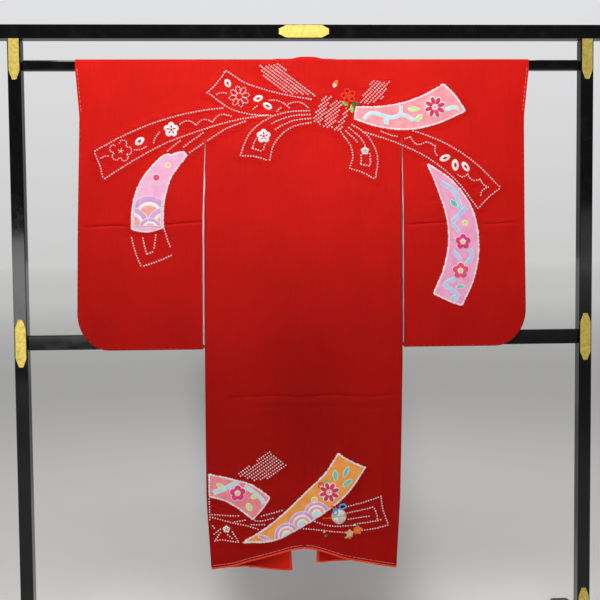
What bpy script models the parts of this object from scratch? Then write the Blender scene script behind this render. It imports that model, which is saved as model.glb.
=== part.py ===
"""Girl's silk kimono spread over the rod of a lacquered kimono stand.

Metres, +Z up. X runs along the stand, the back of the kimono faces -Y, and the origin is on
the floor under the middle of the stand.
"""
import math

import bmesh
import bpy
from mathutils import Matrix, Vector

GAP = 0.0003

# Stand: two posts on feet, a beam over them, the rod that carries the cloth and a low rail
STAND_HEIGHT = 1.500
POST_SIDE = 0.031
POST_CENTRE = 0.6815
BEAM_LENGTH = 1.570
BEAM_HEIGHT = 0.033
BEAM_DEPTH = 0.032
ROD_TOP = 1.4185
ROD_HEIGHT = 0.0248
ROD_DEPTH = 0.018
ROD_CORNER = 0.004
RAIL_TOP = 0.767
RAIL_HEIGHT = 0.035
RAIL_DEPTH = 0.018
FOOT_WIDTH = 0.042
FOOT_HEIGHT = 0.050
EDGE_ROUND = 0.0016
TENON_DEPTH = 0.012
TENON_ROOT = 0.004
TENON_SHARE = 0.6
# half of the foot's outline from its seat to the hollow under it: distance from the post, height
FOOT_OUTLINE = (
    (0.0295, FOOT_HEIGHT),
    (0.0695, 0.0400),
    (0.1300, 0.0320),
    (0.1820, 0.0260),
    (0.1900, 0.0156),
    (0.1900, 0.0000),
    (0.1050, 0.0000),
    (0.0970, 0.0080),
)

# Metal plates on the stand
PLATE_THICKNESS = 0.001
PLATE_WIDTH = 0.025
PLATE_TIP = 0.010
PLATE_POINT = 0.021
PLATE_TOP_LENGTH = 0.095
PLATE_MIDDLE_LENGTH = 0.114
PLATE_BASE_LENGTH = 0.075
BEAM_PLATE_LENGTH = 0.119
BEAM_PLATE_HEIGHT = 0.029
BEAM_PLATE_TIP = 0.012
BEAM_PLATE_POINT = 0.017

# Cloth: silk and lining together make one wall, the collar is folded double
WALL = 0.0015
COLLAR_WALL = 0.0030
LINING_WALL = 0.0010
CLOTH_OVER_ROD = 0.0013
ROD_FLAT = ROD_DEPTH / 2 - ROD_CORNER
WRAP_RADIUS = ROD_CORNER + CLOTH_OVER_ROD
WRAP_CENTRE = ROD_TOP - ROD_CORNER
UNDER_ROD = ROD_TOP - ROD_HEIGHT

# Garment levels, above the floor
ARMHOLE_END = 1.248
SIDE_SEAM_TOP = 1.172
COLLAR_TIP = 0.845
OKUMI_TIP = 1.205
HEM_AT_SIDE = 0.195
SLEEVE_BOTTOM = 0.731
CUFF_END = 1.278

# Widths across half of the garment
NECK_HALF = 0.073
SIDE_HALF = 0.2349
PANEL_WIDTH = 0.200
FRONT_WIDTH = 0.325
COLLAR_WIDTH = 0.050
COLLAR_LIFT = 0.0018
COLLAR_GAP = 0.0011
COLLAR_LIFT_END = 0.040
COLLAR_CROWN = 0.0008
COLLAR_BUMP = 0.0036
COLLAR_BUMP_HALF = 0.043
NECK_EDGE = -0.014
SLEEVE_CORNER_WIDTH = 0.075
SLEEVE_CORNER_HEIGHT = 0.090
SIDE_BLEND = 0.060
FUKI_HEIGHT = 0.0045
FUKI_WALL = 0.0030
FUKI_ROUND = 0.0009

# level, half width of the body at the side seam
SIDE = (
    (0.195, 0.2240),
    (0.260, 0.2275),
    (0.360, 0.2335),
    (0.500, 0.2350),
    (0.700, 0.2365),
    (1.200, 0.2343),
    (1.248, 0.2349),
    (1.420, 0.2349),
)
# level, how far the hanging cloth has swayed along the rod
SWAY = (
    (0.190, -0.0105),
    (0.360, -0.0105),
    (0.700, -0.0065),
    (1.030, -0.0050),
    (1.240, -0.0020),
    (1.390, 0.0000),
)
# level, back panel, front panel, middle of the side seam, half the gap at the side seam
HANG = (
    (0.1950, -0.0300, -0.0190, -0.0245, 0.0032),
    (0.7800, -0.0310, -0.0196, -0.0252, 0.0032),
    (1.1720, -0.0145, 0.0010, -0.0065, 0.0035),
    (1.2480, -0.0118, 0.0050, -0.0034, 0.0084),
    (1.3937, -0.0103, 0.0103, 0.0000, 0.0103),
)
# distance right of the centre back, how far the hem of the back rises above the side's lowest level
HEM_ARCH = (
    (-0.260, 0.0020),
    (-0.224, 0.0060),
    (-0.188, 0.0110),
    (-0.150, 0.0180),
    (-0.112, 0.0275),
    (-0.067, 0.0405),
    (-0.036, 0.0490),
    (-0.010, 0.0520),
    (0.010, 0.0515),
    (0.026, 0.0490),
    (0.056, 0.0405),
    (0.096, 0.0270),
    (0.134, 0.0165),
    (0.174, 0.0105),
    (0.212, 0.0030),
    (0.224, 0.0000),
    (0.260, -0.0040),
)
# centre of a back fold, its half width, its depth at the hem, the level where it fades
BACK_FOLDS = (
    (-0.180, 0.030, 0.0035, 0.60),
    (-0.135, 0.026, -0.0040, 0.75),
    (-0.060, 0.034, 0.0040, 0.55),
    (0.012, 0.026, -0.0030, 0.80),
    (0.085, 0.030, 0.0045, 0.70),
    (0.140, 0.028, -0.0030, 0.55),
    (0.190, 0.024, 0.0040, 0.65),
)
# distance across the front from the side seam, rise of the left front's hem, of the right front's
FRONT_HEM = (
    (0.000, 0.0060, 0.0000),
    (0.045, 0.0082, 0.0110),
    (0.090, 0.0088, 0.0165),
    (0.125, 0.0045, 0.0185),
    (0.160, -0.0005, 0.0175),
    (0.185, -0.0030, 0.0145),
    (0.200, -0.0035, 0.0150),
    (0.240, -0.0020, 0.0160),
    (0.325, 0.0040, 0.0210),
)
# level, width of the front from the side seam to the seam of the collar
COLLAR_SEAM = (
    (0.8450, 0.2750),
    (1.2050, 0.2000),
    (1.3937, 0.1619),
    (1.4200, 0.1619),
)
# level, where the front turns back on itself, share of its width that hangs flat, turn's radius
TURN = (
    (0.1950, 0.2020, 0.94, 0.0045),
    (0.7800, 0.2020, 0.97, 0.0045),
    (1.2050, 0.2020, 1.00, 0.0055),
    (1.3160, 0.2090, 1.00, 0.0100),
    (1.3937, 0.2140, 1.00, 0.0140),
)
FRONT_WAVE_LENGTH = 0.080
FRONT_WAVE_DEPTH = 0.0016
FRONT_WAVE_TOP = 1.200
FRONT_WAVE_GROWS = 0.600
# level, inner edge of the sleeve
SLEEVE_INNER = (
    (0.731, 0.2425),
    (1.235, 0.2405),
    (1.248, 0.2352),
    (1.420, 0.2352),
)
# level, outer edge of the sleeve
SLEEVE_OUTER = (
    (0.821, 0.5395),
    (1.030, 0.5360),
    (1.278, 0.5315),
    (1.420, 0.5425),
)
# level, back layer of the sleeve, front layer
SLEEVE_HANG = (
    (0.7310, -0.01700, -0.01005),
    (0.7900, -0.01700, -0.01005),
    (1.2480, -0.01180, 0.00500),
    (1.3937, -0.01030, 0.01030),
)
# level, half the gap between the layers at the outer edge of the sleeve
SLEEVE_EDGE = (
    (0.731, 0.0023),
    (1.200, 0.0023),
    (1.278, 0.0030),
    (1.335, 0.0065),
    (1.394, 0.0103),
)
SLEEVE_LINING_INSIDE = 0.010
SLEEVE_LINING_LEVELS = (0.741, 0.790, 0.880, 1.000, 1.120, 1.232)
# layer of the sleeve, how far its lining shows past the silk
SLEEVE_LINING_SHOWS = (("back", 0.0030), ("front", 0.0044))
HEM_LINING_HEIGHT = 0.150

# Levels of the rows of the long sheets, at the side seam, and more where the collar's seam turns back
BODY_LEVELS = (HEM_AT_SIDE, 0.235, 0.315, 0.430, 0.570, 0.680, 0.775, COLLAR_TIP, 0.950, 1.060,
               SIDE_SEAM_TOP, OKUMI_TIP, ARMHOLE_END, 1.316, 1.358, UNDER_ROD)
COLLAR_TURN_LEVELS = (1.110, 1.132, 1.152, 1.188)
FOLD_LEVELS = tuple(sorted(BODY_LEVELS + COLLAR_TURN_LEVELS))
# Rows over the rod, as length along the cloth from the middle of the rod's top
ROD_ROWS = (NECK_EDGE, -0.0092, -0.005, 0.005, 0.0092, -NECK_EDGE)
BACK_INNER_COLUMNS = 5
PANEL_COLUMNS = 10
SLEEVE_COLUMNS = 10
SLEEVE_LEVELS = (0.90, 1.00, 1.10, 1.20, 1.235, 1.248, 1.278, 1.335, 1.3937)
SLEEVE_CORNER_STEPS = 4
TURN_COLUMNS = 4
OKUMI_COLUMNS = (0.235, 0.255, 0.275)
OKUMI_EDGE_COLUMNS = (0.275, 0.300, FRONT_WIDTH)
NARROWEST_FACE = 0.0030
HEM_LINING_ROWS = 4
COLLAR_COLUMNS = 12
COLLAR_BACK_LINES = 6
COLLAR_BACK_SEAM = 0.96
COLLAR_BACK_FREE = 0.85
# length along the cloth of a line across the collar beside the neck, at its seam, at its free edge
COLLAR_NECK_LINES = (
    (-0.0095, 0.0375),
    (-0.0045, 0.0410),
    (0.0020, 0.0450),
    (0.0100, 0.0500),
    (0.0200, 0.0570),
    (0.0340, 0.0660),
)

bpy.ops.object.select_all(action="DESELECT")
for old in list(bpy.data.objects):
    bpy.data.objects.remove(old, do_unlink=True)
parts = bpy.data.collections.new("shichi_go_san_kimono_on_stand")
helpers = bpy.data.collections.new("cutters")
bpy.context.scene.collection.children.link(parts)
bpy.context.scene.collection.children.link(helpers)


def material(name, colour, roughness, metallic=0.0):
    made = bpy.data.materials.new(name)
    made.use_nodes = True
    shader = made.node_tree.nodes["Principled BSDF"]
    shader.inputs["Base Color"].default_value = (*colour, 1.0)
    shader.inputs["Roughness"].default_value = roughness
    shader.inputs["Metallic"].default_value = metallic
    return made


RED_SILK = material("red_silk", (0.55, 0.012, 0.008), 0.55)
HEM_SILK = material("orange_red_silk", (0.90, 0.050, 0.012), 0.50)
PALE_SILK = material("pale_lining_silk", (0.62, 0.52, 0.60), 0.60)
LACQUER = material("black_lacquer", (0.006, 0.006, 0.007), 0.12)
BRASS = material("gilt_brass", (0.75, 0.52, 0.14), 0.32, 1.0)


def read(table, at, column=1):
    """Value of a table's column at a level or distance, on straight lines between its rows."""
    if at <= table[0][0]:
        return table[0][column]
    for low, high in zip(table, table[1:]):
        if at <= high[0]:
            share = (at - low[0]) / (high[0] - low[0])
            return low[column] + (high[column] - low[column]) * share
    return table[-1][column]


def ease(share):
    """Soft step from 0 to 1."""
    share = min(max(share, 0.0), 1.0)
    return share * share * (3.0 - 2.0 * share)


def finish(name, mesh, look, collection=parts):
    mesh.name = name
    mesh.materials.clear()
    mesh.materials.append(look)
    made = bpy.data.objects.new(name, mesh)
    collection.objects.link(made)
    return made


def box(name, low, high, look, collection=parts):
    """Box between two corners."""
    form = bmesh.new()
    bmesh.ops.create_cube(form, size=1.0)
    size = [b - a for a, b in zip(low, high)]
    middle = [(a + b) / 2 for a, b in zip(low, high)]
    bmesh.ops.transform(form, matrix=Matrix.LocRotScale(middle, None, size), verts=form.verts)
    mesh = bpy.data.meshes.new(name)
    form.to_mesh(mesh)
    form.free()
    return finish(name, mesh, look, collection)


def round_edges(piece, width, segments=1):
    bevel = piece.modifiers.new("rounded edges", "BEVEL")
    bevel.width = width
    bevel.segments = segments
    bevel.limit_method = "ANGLE"


def join_or_cut(piece, other, operation):
    """Boolean with a helper box, which stays in the cutters' collection."""
    other.hide_render = True
    other.display_type = "WIRE"
    cut = piece.modifiers.new(other.name, "BOOLEAN")
    cut.operation = operation
    cut.object = other


def tenon(name, piece, socket_piece, low, high):
    """Tenon on one piece and the mortise for it, a gap larger all round, in the other."""
    join_or_cut(piece, box(name + "_tenon", low, high, LACQUER, helpers), "UNION")
    low = [a - GAP for a in low]
    high = [b + GAP for b in high]
    join_or_cut(socket_piece, box(name + "_mortise", low, high, LACQUER, helpers), "DIFFERENCE")


def flat_solid(name, outline, thickness, look, place):
    """Outline in its own plane, made solid on both sides of it and put in place."""
    curve = bpy.data.curves.new(name + "_outline", "CURVE")
    curve.dimensions = "2D"
    curve.fill_mode = "BOTH"
    curve.extrude = thickness / 2
    line = curve.splines.new("POLY")
    line.points.add(len(outline) - 1)
    for point, (u, v) in zip(line.points, outline):
        point.co = (u, v, 0.0, 1.0)
    line.use_cyclic_u = True
    drawn = bpy.data.objects.new(name + "_outline", curve)
    helpers.objects.link(drawn)
    bpy.context.view_layer.update()
    graph = bpy.context.evaluated_depsgraph_get()
    mesh = bpy.data.meshes.new_from_object(drawn.evaluated_get(graph))
    bpy.data.objects.remove(drawn, do_unlink=True)
    form = bmesh.new()
    form.from_mesh(mesh)
    bmesh.ops.remove_doubles(form, verts=form.verts, dist=0.00005)
    bmesh.ops.transform(form, matrix=place, verts=form.verts)
    bmesh.ops.recalc_face_normals(form, faces=form.faces)
    form.to_mesh(mesh)
    form.free()
    return finish(name, mesh, look)


def build_foot(name, side):
    """Foot that runs front to back, low at its toes and hollowed between its pads."""
    outline = list(FOOT_OUTLINE) + [(-distance, height) for distance, height in reversed(FOOT_OUTLINE)]
    stand_up = Matrix(((0, 0, 1, side * POST_CENTRE), (1, 0, 0, 0), (0, 1, 0, 0), (0, 0, 0, 1)))
    return flat_solid(name, outline, FOOT_WIDTH, LACQUER, stand_up)


def build_stand():
    beam_bottom = STAND_HEIGHT - BEAM_HEIGHT
    half_beam = (BEAM_LENGTH / 2, BEAM_DEPTH / 2)
    beam = box("top_beam", (-half_beam[0], -half_beam[1], beam_bottom),
               (half_beam[0], half_beam[1], STAND_HEIGHT), LACQUER)
    round_edges(beam, EDGE_ROUND)
    inner = POST_CENTRE - POST_SIDE / 2
    bars = []
    for name, top, height, depth, corner in (
            ("hanging_rod", ROD_TOP, ROD_HEIGHT, ROD_DEPTH, ROD_CORNER),
            ("low_rail", RAIL_TOP, RAIL_HEIGHT, RAIL_DEPTH, EDGE_ROUND)):
        bar = box(name, (GAP - inner, -depth / 2, top - height), (inner - GAP, depth / 2, top), LACQUER)
        round_edges(bar, corner, 2 if corner > EDGE_ROUND else 1)
        bars.append((bar, top - height / 2, height * TENON_SHARE / 2, depth * TENON_SHARE / 2))
    for word, side in (("left", -1), ("right", 1)):
        centre = side * POST_CENTRE
        half = POST_SIDE / 2
        post = box("post_" + word, (centre - half, -half, FOOT_HEIGHT + GAP),
                   (centre + half, half, beam_bottom - GAP), LACQUER)
        round_edges(post, EDGE_ROUND)
        foot = build_foot("foot_" + word, side)
        core = half * TENON_SHARE
        tenon("post_top_" + word, post, beam, (centre - core, -core, beam_bottom - TENON_ROOT),
              (centre + core, core, beam_bottom + TENON_DEPTH))
        tenon("post_foot_" + word, post, foot, (centre - core, -core, FOOT_HEIGHT - TENON_DEPTH * 2),
              (centre + core, core, FOOT_HEIGHT + TENON_ROOT))
        for bar, level, rise, core_depth in bars:
            ends = sorted((side * (inner - TENON_ROOT), side * (inner + TENON_DEPTH)))
            tenon(bar.name + "_" + word, bar, post, (ends[0], -core_depth, level - rise),
                  (ends[1], core_depth, level + rise))


def plate_outline(length, width, tip, point, both_ends):
    """Plate along +v from 0, its far end drawn in to a blunt point, its near end too if asked."""
    half, half_tip = width / 2, tip / 2
    near = [(-half_tip, 0.0), (half_tip, 0.0), (half, point)] if both_ends else [(-half, 0.0), (half, 0.0)]
    far = [(half, length - point), (half_tip, length), (-half_tip, length), (-half, length - point)]
    outline = near + far
    if both_ends:
        outline.append((-half, point))
    return outline


def build_plates():
    """Gilt plates on the faces of the posts and the beam, front and back."""
    post_face = POST_SIDE / 2 + GAP + PLATE_THICKNESS / 2
    beam_face = BEAM_DEPTH / 2 + GAP + PLATE_THICKNESS / 2
    beam_bottom = STAND_HEIGHT - BEAM_HEIGHT
    rail_middle = RAIL_TOP - RAIL_HEIGHT / 2
    # name, where the plate starts, length, direction of its point, both ends pointed
    kinds = (
        ("top", beam_bottom - GAP, PLATE_TOP_LENGTH, -1, False),
        ("middle", rail_middle - PLATE_MIDDLE_LENGTH / 2, PLATE_MIDDLE_LENGTH, 1, True),
        ("base", FOOT_HEIGHT + GAP * 2, PLATE_BASE_LENGTH, 1, False),
    )
    for face, facing in (("front", -1), ("rear", 1)):
        for word, side in (("left", -1), ("right", 1)):
            for kind, start, length, way, both_ends in kinds:
                outline = plate_outline(length, PLATE_WIDTH, PLATE_TIP, PLATE_POINT, both_ends)
                place = Matrix(((1, 0, 0, side * POST_CENTRE), (0, 0, 1, facing * post_face),
                                (0, way, 0, start), (0, 0, 0, 1)))
                flat_solid("_".join(("plate", kind, word, face)), outline, PLATE_THICKNESS, BRASS, place)
        outline = plate_outline(BEAM_PLATE_LENGTH, BEAM_PLATE_HEIGHT, BEAM_PLATE_TIP, BEAM_PLATE_POINT, True)
        place = Matrix(((0, 1, 0, -BEAM_PLATE_LENGTH / 2), (0, 0, 1, facing * beam_face),
                        (1, 0, 0, STAND_HEIGHT - BEAM_HEIGHT / 2), (0, 0, 0, 1)))
        flat_solid("plate_beam_" + face, outline, PLATE_THICKNESS, BRASS, place)


def over_rod(x, length, lift=0.0):
    """Point on the cloth over the rod, at a length along it from the middle of the rod's top."""
    radius = WRAP_RADIUS + lift
    quarter = radius * math.pi / 2
    away = abs(length)
    if away <= ROD_FLAT:
        y, z = away, WRAP_CENTRE + radius
    elif away <= ROD_FLAT + quarter:
        angle = (away - ROD_FLAT) / radius
        y, z = ROD_FLAT + radius * math.sin(angle), WRAP_CENTRE + radius * math.cos(angle)
    else:
        y, z = ROD_FLAT + radius, WRAP_CENTRE - (away - ROD_FLAT - quarter)
    return Vector((x, math.copysign(y, length), z))


def fold_depth(x, z):
    """How far the soft folds of the back push it out, growing down to the hem."""
    total = 0.0
    for centre, half_width, depth, fades in BACK_FOLDS:
        grown = ease((fades - z) / (fades - HEM_AT_SIDE))
        total += depth * grown * math.exp(-((x - centre) / half_width) ** 2)
    return total


def back_point(side, x, z):
    """Point on the back panel, x measured out from the centre seam."""
    middle, half_gap = read(HANG, z, 3), read(HANG, z, 4)
    inward = ease((read(SIDE, z) - x) / SIDE_BLEND)
    edge = middle - half_gap
    y = edge + (read(HANG, z, 1) - fold_depth(side * x, z) - edge) * inward
    return Vector((side * x + read(SWAY, z), y, z))


def front_point(side, across, z):
    """Point on the front, measured across the cloth from the side seam, which turns back on itself."""
    middle, half_gap = read(HANG, z, 3), read(HANG, z, 4)
    turn, flat_share, radius = read(TURN, z, 1), read(TURN, z, 2), read(TURN, z, 3)
    side_x, panel = read(SIDE, z), read(HANG, z, 2)
    turn_x = side_x - turn * flat_share
    after = across - turn
    if after <= 0.0:
        x = side_x - across * flat_share
        edge = middle + half_gap
        calm = ease(across / SIDE_BLEND) * ease(-after / SIDE_BLEND)
        calm *= ease((FRONT_WAVE_TOP - z) / FRONT_WAVE_GROWS)
        wave = FRONT_WAVE_DEPTH * math.sin(2 * math.pi * across / FRONT_WAVE_LENGTH)
        y = edge + (panel - edge) * ease(across / SIDE_BLEND) + wave * calm
    elif after <= math.pi * radius:
        angle = after / radius
        x = turn_x - radius * math.sin(angle)
        y = panel + radius * (1.0 - math.cos(angle))
    else:
        x = turn_x + (after - math.pi * radius) * flat_share
        y = panel + 2 * radius
    return Vector((side * x + read(SWAY, z), y, z))


def front_hem(side, across):
    return HEM_AT_SIDE + read(FRONT_HEM, across, 1 if side < 0 else 2)


def raised(hem, side_level):
    """Level of a row, where the hem isn't as high as it is at the side."""
    share = (side_level - HEM_AT_SIDE) / (UNDER_ROD - HEM_AT_SIDE)
    return hem + (UNDER_ROD - hem) * share


def front_row_point(side, across, side_level):
    """Point of the front in one of its rows, measured across from the side seam."""
    return front_point(side, across, raised(front_hem(side, across), side_level))


def add_sheet(form, rows):
    """Grid of faces moved onto rows of points, all rows with the same number of points."""
    across, along = len(rows[0]), len(rows)
    made = bmesh.ops.create_grid(form, x_segments=across - 1, y_segments=along - 1, size=1.0)
    for vert in made["verts"]:
        column = round((vert.co.x + 1) / 2 * (across - 1))
        row = round((vert.co.y + 1) / 2 * (along - 1))
        vert.co = rows[row][column]


def cloth(name, sheets, thickness, look):
    """Sheets merged where they meet and thickened to a wall."""
    form = bmesh.new()
    for rows in sheets:
        add_sheet(form, rows)
    bmesh.ops.remove_doubles(form, verts=form.verts, dist=0.00002)
    bmesh.ops.recalc_face_normals(form, faces=form.faces)
    mesh = bpy.data.meshes.new(name)
    form.to_mesh(mesh)
    form.free()
    made = finish(name, mesh, look)
    wall = made.modifiers.new("wall", "SOLIDIFY")
    wall.thickness = thickness
    wall.offset = 0.0
    wall.use_even_offset = True
    return made


def back_row_point(side, part, side_level):
    """Point of the back panel, part of the way out from the centre seam, in one of its rows."""
    hem = HEM_AT_SIDE + read(HEM_ARCH, side * part * read(SIDE, side_level))
    z = raised(hem, side_level)
    return back_point(side, max(part * read(SIDE, z), GAP / 2), z)


def build_body(word, side):
    """One length of cloth from the back hem over the rod to the front hem, closed at the side."""
    neck = NECK_HALF / SIDE_HALF
    inner_parts = [neck * column / BACK_INNER_COLUMNS for column in range(BACK_INNER_COLUMNS + 1)]
    outer_parts = [neck + (1 - neck) * column / PANEL_COLUMNS for column in range(PANEL_COLUMNS + 1)]
    inner = [[back_row_point(side, part, z) for part in inner_parts] for z in BODY_LEVELS]
    inner.append([over_rod(side * max(part * SIDE_HALF, GAP / 2), NECK_EDGE) for part in inner_parts])
    back = [[back_row_point(side, part, z) for part in outer_parts] for z in BODY_LEVELS]
    top = [[over_rod(side * part * SIDE_HALF, length) for part in outer_parts] for length in ROD_ROWS]
    front = []
    for z in BODY_LEVELS:
        width = min(read(COLLAR_SEAM, z), PANEL_WIDTH)
        front.append([front_row_point(side, width * (1 - part) / (1 - neck), z) for part in outer_parts])
    closed = BODY_LEVELS.index(SIDE_SEAM_TOP) + 1
    seam = [[a[-1], b[-1]] for a, b in zip(back[:closed], front[:closed])]
    cloth("body_" + word, (inner, back + top + front[::-1], seam), WALL, RED_SILK)


def okumi_columns(z, limit):
    """Widths of the overlap panel's columns, close together where it turns back, up to a limit."""
    turn, radius = read(TURN, z, 1), read(TURN, z, 3)
    widths = [PANEL_WIDTH + GAP]
    widths += [turn + math.pi * radius * step / TURN_COLUMNS for step in range(TURN_COLUMNS + 1)]
    widths += OKUMI_COLUMNS
    return [width if limit - width > NARROWEST_FACE else limit for width in widths]


def build_okumi(word, side):
    """Front overlap panel, from its tip beside the collar down to the hem."""
    slanted, edge = [], []
    for z in FOLD_LEVELS[:FOLD_LEVELS.index(OKUMI_TIP)]:
        beside_collar = z > COLLAR_TIP
        seam = min(read(COLLAR_SEAM, z), OKUMI_COLUMNS[-1])
        widths = okumi_columns(z, seam - GAP if beside_collar else seam)
        slanted.append([front_row_point(side, across, z) for across in widths])
        if not beside_collar:
            edge.append([front_row_point(side, across, z) for across in OKUMI_EDGE_COLUMNS])
    tip = front_row_point(side, PANEL_WIDTH + GAP, OKUMI_TIP)
    slanted.append([tip] * len(slanted[0]))
    cloth("okumi_" + word, (slanted, edge), WALL, RED_SILK)


def build_sleeve(word, side):
    """Sleeve folded over the rod, open at the cuff and at its inner edge, closed below."""
    levels = []
    for step in range(SLEEVE_CORNER_STEPS + 1):
        angle = math.pi / 2 * (1 - step / SLEEVE_CORNER_STEPS)
        levels.append((SLEEVE_BOTTOM + SLEEVE_CORNER_HEIGHT * (1 - math.sin(angle)),
                       SLEEVE_CORNER_WIDTH * (1 - math.cos(angle))))
    levels += [(z, 0.0) for z in SLEEVE_LEVELS]
    layers = {}
    for layer in ("back", "front"):
        rows = []
        for z, drawn_in in levels:
            inner, outer = read(SLEEVE_INNER, z), read(SLEEVE_OUTER, z) - drawn_in
            rows.append([sleeve_point(side, inner + (outer - inner) * column / SLEEVE_COLUMNS, z,
                                      outer, layer) for column in range(SLEEVE_COLUMNS + 1)])
        layers[layer] = rows
    top = []
    for length in ROD_ROWS:
        inner, outer = read(SLEEVE_INNER, ROD_TOP), read(SLEEVE_OUTER, ROD_TOP)
        top.append([over_rod(side * (inner + (outer - inner) * column / SLEEVE_COLUMNS), length)
                    for column in range(SLEEVE_COLUMNS + 1)])
    sheet = layers["back"] + top + list(reversed(layers["front"]))
    closed = SLEEVE_CORNER_STEPS + 1 + SLEEVE_LEVELS.index(CUFF_END) + 1
    outer_edge = [[a[-1], b[-1]] for a, b in zip(layers["back"][:closed], layers["front"][:closed])]
    bottom = [[a, b] for a, b in zip(layers["back"][0], layers["front"][0])]
    cloth("sleeve_" + word, (sheet, outer_edge, bottom), WALL, RED_SILK)


def sleeve_point(side, x, z, outer, layer):
    """Point on one layer of the sleeve, the two drawn together along the closed outer edge."""
    back, front = read(SLEEVE_HANG, z, 1), read(SLEEVE_HANG, z, 2)
    middle, half_gap = (back + front) / 2, (front - back) / 2
    edge = read(SLEEVE_EDGE, z)
    half_gap = edge + (half_gap - edge) * ease((outer - x) / SIDE_BLEND)
    y = middle - half_gap if layer == "back" else middle + half_gap
    return Vector((side * x + read(SWAY, z), y, z))


def build_sleeve_linings(word, side):
    """Lining that shows as a narrow edge along the open inner side of each sleeve layer."""
    for layer, shows in SLEEVE_LINING_SHOWS:
        inside = WALL / 2 + GAP + LINING_WALL / 2
        shift = inside if layer == "back" else -inside
        rows = []
        for z in SLEEVE_LINING_LEVELS:
            edge = read(SLEEVE_INNER, z)
            row = []
            for x in (edge - shows, edge + SLEEVE_LINING_INSIDE):
                point = sleeve_point(side, x, z, read(SLEEVE_OUTER, z), layer)
                point.y += shift
                row.append(point)
            rows.append(row)
        cloth("sleeve_lining_" + word + "_" + layer, (rows,), LINING_WALL, PALE_SILK)


def build_fuki(word, side):
    """Padded rolls below the hems, turned out from the hem lining."""
    back, front = [], []
    columns = BACK_INNER_COLUMNS + PANEL_COLUMNS
    for drop in (GAP, GAP + FUKI_HEIGHT):
        row = []
        for column in range(columns + 1):
            point = back_row_point(side, column / columns, HEM_AT_SIDE)
            point.z -= drop
            row.append(point)
        back.append(row)
        row = []
        panel = [PANEL_WIDTH * column / PANEL_COLUMNS for column in range(PANEL_COLUMNS)]
        for across in panel + okumi_columns(HEM_AT_SIDE, FRONT_WIDTH) + [FRONT_WIDTH]:
            point = front_point(side, max(across, FUKI_WALL / 2), front_hem(side, across))
            point.z -= drop
            row.append(point)
        front.append(row)
    for name, rows in (("fuki_back_", back), ("fuki_front_", front)):
        roll = cloth(name + word, (rows,), FUKI_WALL, HEM_SILK)
        round_edges(roll, FUKI_ROUND)


def build_hem_lining(word, side):
    """Hem lining inside the front panel, which shows below the risen hem of the back."""
    inside = WALL / 2 + GAP + LINING_WALL / 2
    rows = []
    for step in range(HEM_LINING_ROWS):
        row = []
        for column in range(1, PANEL_COLUMNS):
            across = PANEL_WIDTH * column / PANEL_COLUMNS
            rise = HEM_LINING_HEIGHT * step / (HEM_LINING_ROWS - 1)
            point = front_point(side, across, front_hem(side, across) + rise)
            point.y -= inside
            row.append(point)
        rows.append(row)
    cloth("hem_lining_" + word, (rows,), LINING_WALL, HEM_SILK)


def collar_point(side, across, length):
    """Point on the collar: over the rod at the neck, then on along the front."""
    under = ROD_FLAT + WRAP_RADIUS * math.pi / 2 + WRAP_CENTRE - UNDER_ROD
    if length > under:
        point = front_point(side, across, UNDER_ROD - (length - under))
        point.y += COLLAR_LIFT * (1 - ease((length - under) / COLLAR_LIFT_END))
        return point
    x = SIDE_HALF - across
    crown = COLLAR_CROWN + COLLAR_BUMP * math.exp(-(x / COLLAR_BUMP_HALF) ** 4)
    rises = ease((length - NECK_EDGE) / (2 * ROD_FLAT))
    falls = 1 - ease((length - ROD_FLAT) / (under - ROD_FLAT))
    return over_rod(side * x, length, COLLAR_LIFT + crown * rises * falls)


def build_collar():
    """Band round the back of the neck and down both fronts, sewn on along its outer line."""
    seam_x = NECK_HALF - COLLAR_GAP
    free_x = NECK_HALF - COLLAR_WIDTH
    seam_start = NECK_EDGE + COLLAR_GAP
    free_start = NECK_EDGE + COLLAR_WIDTH
    # where a line across the collar meets its seam and its free edge, as x and length
    lines = []
    for step in range(COLLAR_BACK_LINES):
        out = step / (COLLAR_BACK_LINES - 1)
        lines.append((seam_x * COLLAR_BACK_SEAM * out, seam_start,
                      free_x * COLLAR_BACK_FREE * out, free_start))
    for seam_length, free_length in COLLAR_NECK_LINES:
        lines.append((seam_x, seam_length, free_x, free_length))
    rows = {}
    parts_across = [column / COLLAR_COLUMNS for column in range(COLLAR_COLUMNS + 1)]
    for side in (-1, 1):
        rows[side] = [[collar_point(side, SIDE_HALF - (a + (c - a) * part), b + (d - b) * part)
                       for part in parts_across] for a, b, c, d in lines]
        for z in reversed(FOLD_LEVELS[FOLD_LEVELS.index(COLLAR_TIP):-1]):
            seam = read(COLLAR_SEAM, z) + COLLAR_GAP
            lift = COLLAR_LIFT * ease(1 - (UNDER_ROD - z) / COLLAR_LIFT_END)
            above_okumi = GAP * 2 if z == COLLAR_TIP else 0.0
            row = [front_row_point(side, seam + COLLAR_WIDTH * part, z) for part in parts_across]
            rows[side].append([point + Vector((0.0, lift, above_okumi)) for point in row])
    whole = list(reversed(rows[-1])) + rows[1][1:]
    cloth("collar", (whole,), COLLAR_WALL, RED_SILK)


def build_kimono():
    for word, side in (("left", -1), ("right", 1)):
        build_body(word, side)
        build_okumi(word, side)
        build_sleeve(word, side)
        build_sleeve_linings(word, side)
        build_fuki(word, side)
        build_hem_lining(word, side)
    build_collar()


build_stand()
build_plates()
build_kimono()
bpy.context.view_layer.update()
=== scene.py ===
"""Dresses a girl's silk kimono and the lacquered stand that it hangs on.

Metres, +Z up. X runs along the stand and the back of the kimono faces -Y.
"""
import math
import random

import bmesh
import bpy
import numpy as np
from mathutils import Matrix, Vector


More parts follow.
